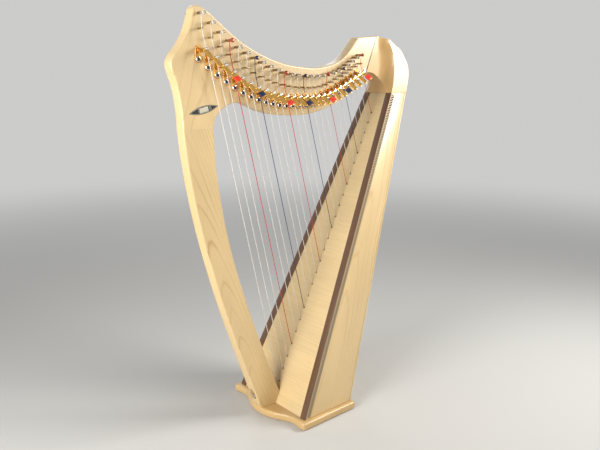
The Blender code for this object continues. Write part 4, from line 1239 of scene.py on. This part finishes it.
# Levers
# A brass handle turns on a riveted pivot in its bracket's ear. Its plated cam meets the string and
# raises its note when the handle is flipped. The C and F levers wear a coloured plastic sleeve.
PIVOT_RADIUS = 0.0013
HUB_RADIUS = 0.0022
ARM_LENGTH = 0.0220
ARM_WIDTH = 0.0095
ARM_CORNER = ARM_WIDTH * 0.34
ARM_FOOT = 0.0006
ARM_HALF_THICK = 0.0008
ARM_ROUNDING = 0.00045
ARM_SLOPE = math.radians(43)
LEVER_THROW = math.radians(95)
CAM_WIDTH = 0.0025
CAM_TIP_RADIUS = 0.0014
CAM_OVERLAP = 0.0001
CAM_ROUNDING = 0.0003
BARREL_RADIUS = 0.0030
BARREL_LENGTH = 0.0040
BARREL_EDGE = 0.0004
SLEEVE_HALF = Vector((0.0056, 0.00525, 0.0019))
SLEEVE_PLACE = 0.0150
SLEEVE_ROUNDING = 0.0008

ear_side = EAR_PLACE + EAR_THICK / 2 + STRING_GAP
arm_end = ear_side + ARM_WIDTH
hub_end = arm_end + CAM_WIDTH / 2
hub = turned_form([(0, ear_side), (HUB_RADIUS - 0.0002, ear_side), (HUB_RADIUS, ear_side + 0.0003),
                   (HUB_RADIUS, ear_side + 0.0010), (HUB_RADIUS - 0.0003, ear_side + 0.0013),
                   (HUB_RADIUS, ear_side + 0.0016), (HUB_RADIUS, arm_end), (HUB_RADIUS, hub_end),
                   (0, hub_end)], 28)
rivet_end = EAR_PLACE - EAR_THICK / 2
rivet = turned_form([(0, rivet_end - 0.0006), (0.0009, rivet_end - 0.00045), (0.0012, rivet_end - 0.0001),
                     (PIVOT_RADIUS, rivet_end + 0.0002), (PIVOT_RADIUS, ear_side + 0.0004),
                     (0, ear_side + 0.0004)], 24)
corner_turns = [(1 - math.cos(angle), 1 - math.sin(angle)) for angle in np.linspace(0, math.pi / 2, 8)]
arm_line = [(ear_side, ARM_FOOT), (ear_side, -ARM_LENGTH + ARM_CORNER)]
arm_line += [(ear_side + ARM_CORNER * x, -ARM_LENGTH + ARM_CORNER * y) for x, y in corner_turns[1:]]
arm_line += [(arm_end - ARM_CORNER * y, -ARM_LENGTH + ARM_CORNER * x) for x, y in corner_turns]
arm_line += [(arm_end, ARM_FOOT)]
arm_lie = Matrix.Rotation(-ARM_SLOPE, 4, "X") @ UPRIGHT
arm = placed(rounded_board(arm_line, -ARM_HALF_THICK, ARM_HALF_THICK, ARM_ROUNDING, 3), arm_lie)
handle = carved(carved(placed(hub, ACROSS), placed(rivet, ACROSS), "UNION"), arm, "UNION")
sleeve_middle = Vector(((ear_side + arm_end) / 2, -SLEEVE_PLACE, 0))
sleeve = placed(block(sleeve_middle - SLEEVE_HALF, sleeve_middle + SLEEVE_HALF, SLEEVE_ROUNDING, 3), arm_lie)
barrel_start = arm_end - BARREL_LENGTH
barrel_end = arm_end + CAM_WIDTH
barrel = turned_form([(0, barrel_start), (BARREL_RADIUS - BARREL_EDGE, barrel_start),
                      (BARREL_RADIUS, barrel_start + BARREL_EDGE), (BARREL_RADIUS, barrel_end - CAM_ROUNDING),
                      (BARREL_RADIUS - CAM_ROUNDING, barrel_end), (0, barrel_end)], 32)
barrel.transform(ACROSS)
sleeve_plastic = {"C": enamel("sleeve_red", (0.80, 0.045, 0.020), 0.38),
                  "F": enamel("sleeve_blue", (0.010, 0.014, 0.055), 0.38)}
for course in courses:
    body = f"lever_{course.label}"
    place = Matrix.Translation(course.pivot) @ Matrix.Rotation(-course.turn, 4, "Y")
    add_piece(f"{body}_handle", placed(handle, place), brass, body, [body])
    cam_tip = Vector((0, course.cam_reach - CAM_TIP_RADIUS, 0))
    cam_line = hull_outline(Vector((0, 0, 0)), HUB_RADIUS + CAM_OVERLAP, cam_tip, CAM_TIP_RADIUS, 12)
    cam = rounded_board(cam_line, arm_end - CAM_OVERLAP, barrel_end, CAM_ROUNDING, 3)
    cam.transform(Matrix.Rotation(LEVER_THROW - math.pi / 2, 4, "X") @ SIDEWAYS)
    add_piece(f"{body}_cam", placed(carved(cam, barrel, "UNION"), place), nickel, body)
    if course.note in sleeve_plastic:
        add_piece(f"{body}_sleeve", placed(sleeve, place), sleeve_plastic[course.note], body)

# Tuning pins
# Steel pins turn in the neck. Each has a square end for the key behind and holds its string's
# winding in front, where the string goes through the pin and its cut end stands out.
PIN_REACH = 0.023
PIN_COLLAR = 0.0016
KEY_HALF = 0.0021
KEY_LENGTH = 0.011
KEY_ROUNDING = 0.0005
WINDING_TURNS = 3
WINDING_STEPS = 14
WINDING_GAP = 0.00008
CUT_END_BEND = 0.0012
CUT_END_INNER = 0.7
CUT_END_OUTER = 1.9
CUT_END_SHIFT = Vector((0, -0.0006, 0.001))
LEAVING_STEP = 2.4

pin_steel = metal("pin_steel", (0.42, 0.31, 0.18), 0.28, (0.22, 0.14, 0.07), 0.7)
pin_back = NEAR_FACE - STRING_GAP
pin_tip = -NEAR_FACE + PIN_REACH
pin_form = turned_form([(0, pin_back - PIN_COLLAR), (PIN_RADIUS, pin_back - PIN_COLLAR),
                        (PIN_RADIUS, pin_tip - 0.0010), (PIN_RADIUS * 0.94, pin_tip - 0.0004),
                        (PIN_RADIUS * 0.78, pin_tip), (0, pin_tip)], 24)
key = block((-KEY_HALF, -KEY_HALF, pin_back - PIN_RADIUS - KEY_LENGTH), (KEY_HALF, KEY_HALF, pin_back),
            KEY_ROUNDING)
pin_form = carved(pin_form, key, "UNION")
pin_form.transform(UPRIGHT)
for course in courses:
    body = f"tuning_pin_{course.label}"
    add_piece(f"{body}_pin", placed(pin_form, Matrix.Translation(course.pin)), pin_steel, body,
              [body])
    coil = course.coil_radius
    pitch = 2 * course.radius + WINDING_GAP
    winding = []
    for step in range(WINDING_TURNS * WINDING_STEPS + 1):
        angle = 2 * math.pi * step / WINDING_STEPS
        y = NEAR_FACE - WINDING_LIFT - pitch * step / WINDING_STEPS
        winding.append(Vector((-coil * math.cos(angle), y, coil * math.sin(angle))))
    leaving = winding[-1] + Vector((0, -course.radius * LEAVING_STEP, 0))
    through = Vector((leaving.x * CUT_END_INNER, leaving.y, leaving.z * CUT_END_INNER))
    cut_end = Vector((-leaving.x * CUT_END_OUTER, leaving.y, -leaving.z * CUT_END_OUTER)) + CUT_END_SHIFT
    winding += rounded_path([winding[-1].lerp(leaving, 0.5), through, cut_end], CUT_END_BEND)
    coil_mesh = tube_mesh([([course.pin + point for point in winding], course.radius)], nylon_of(course))
    add_piece(f"{body}_winding", coil_mesh, nylon_of(course), body)
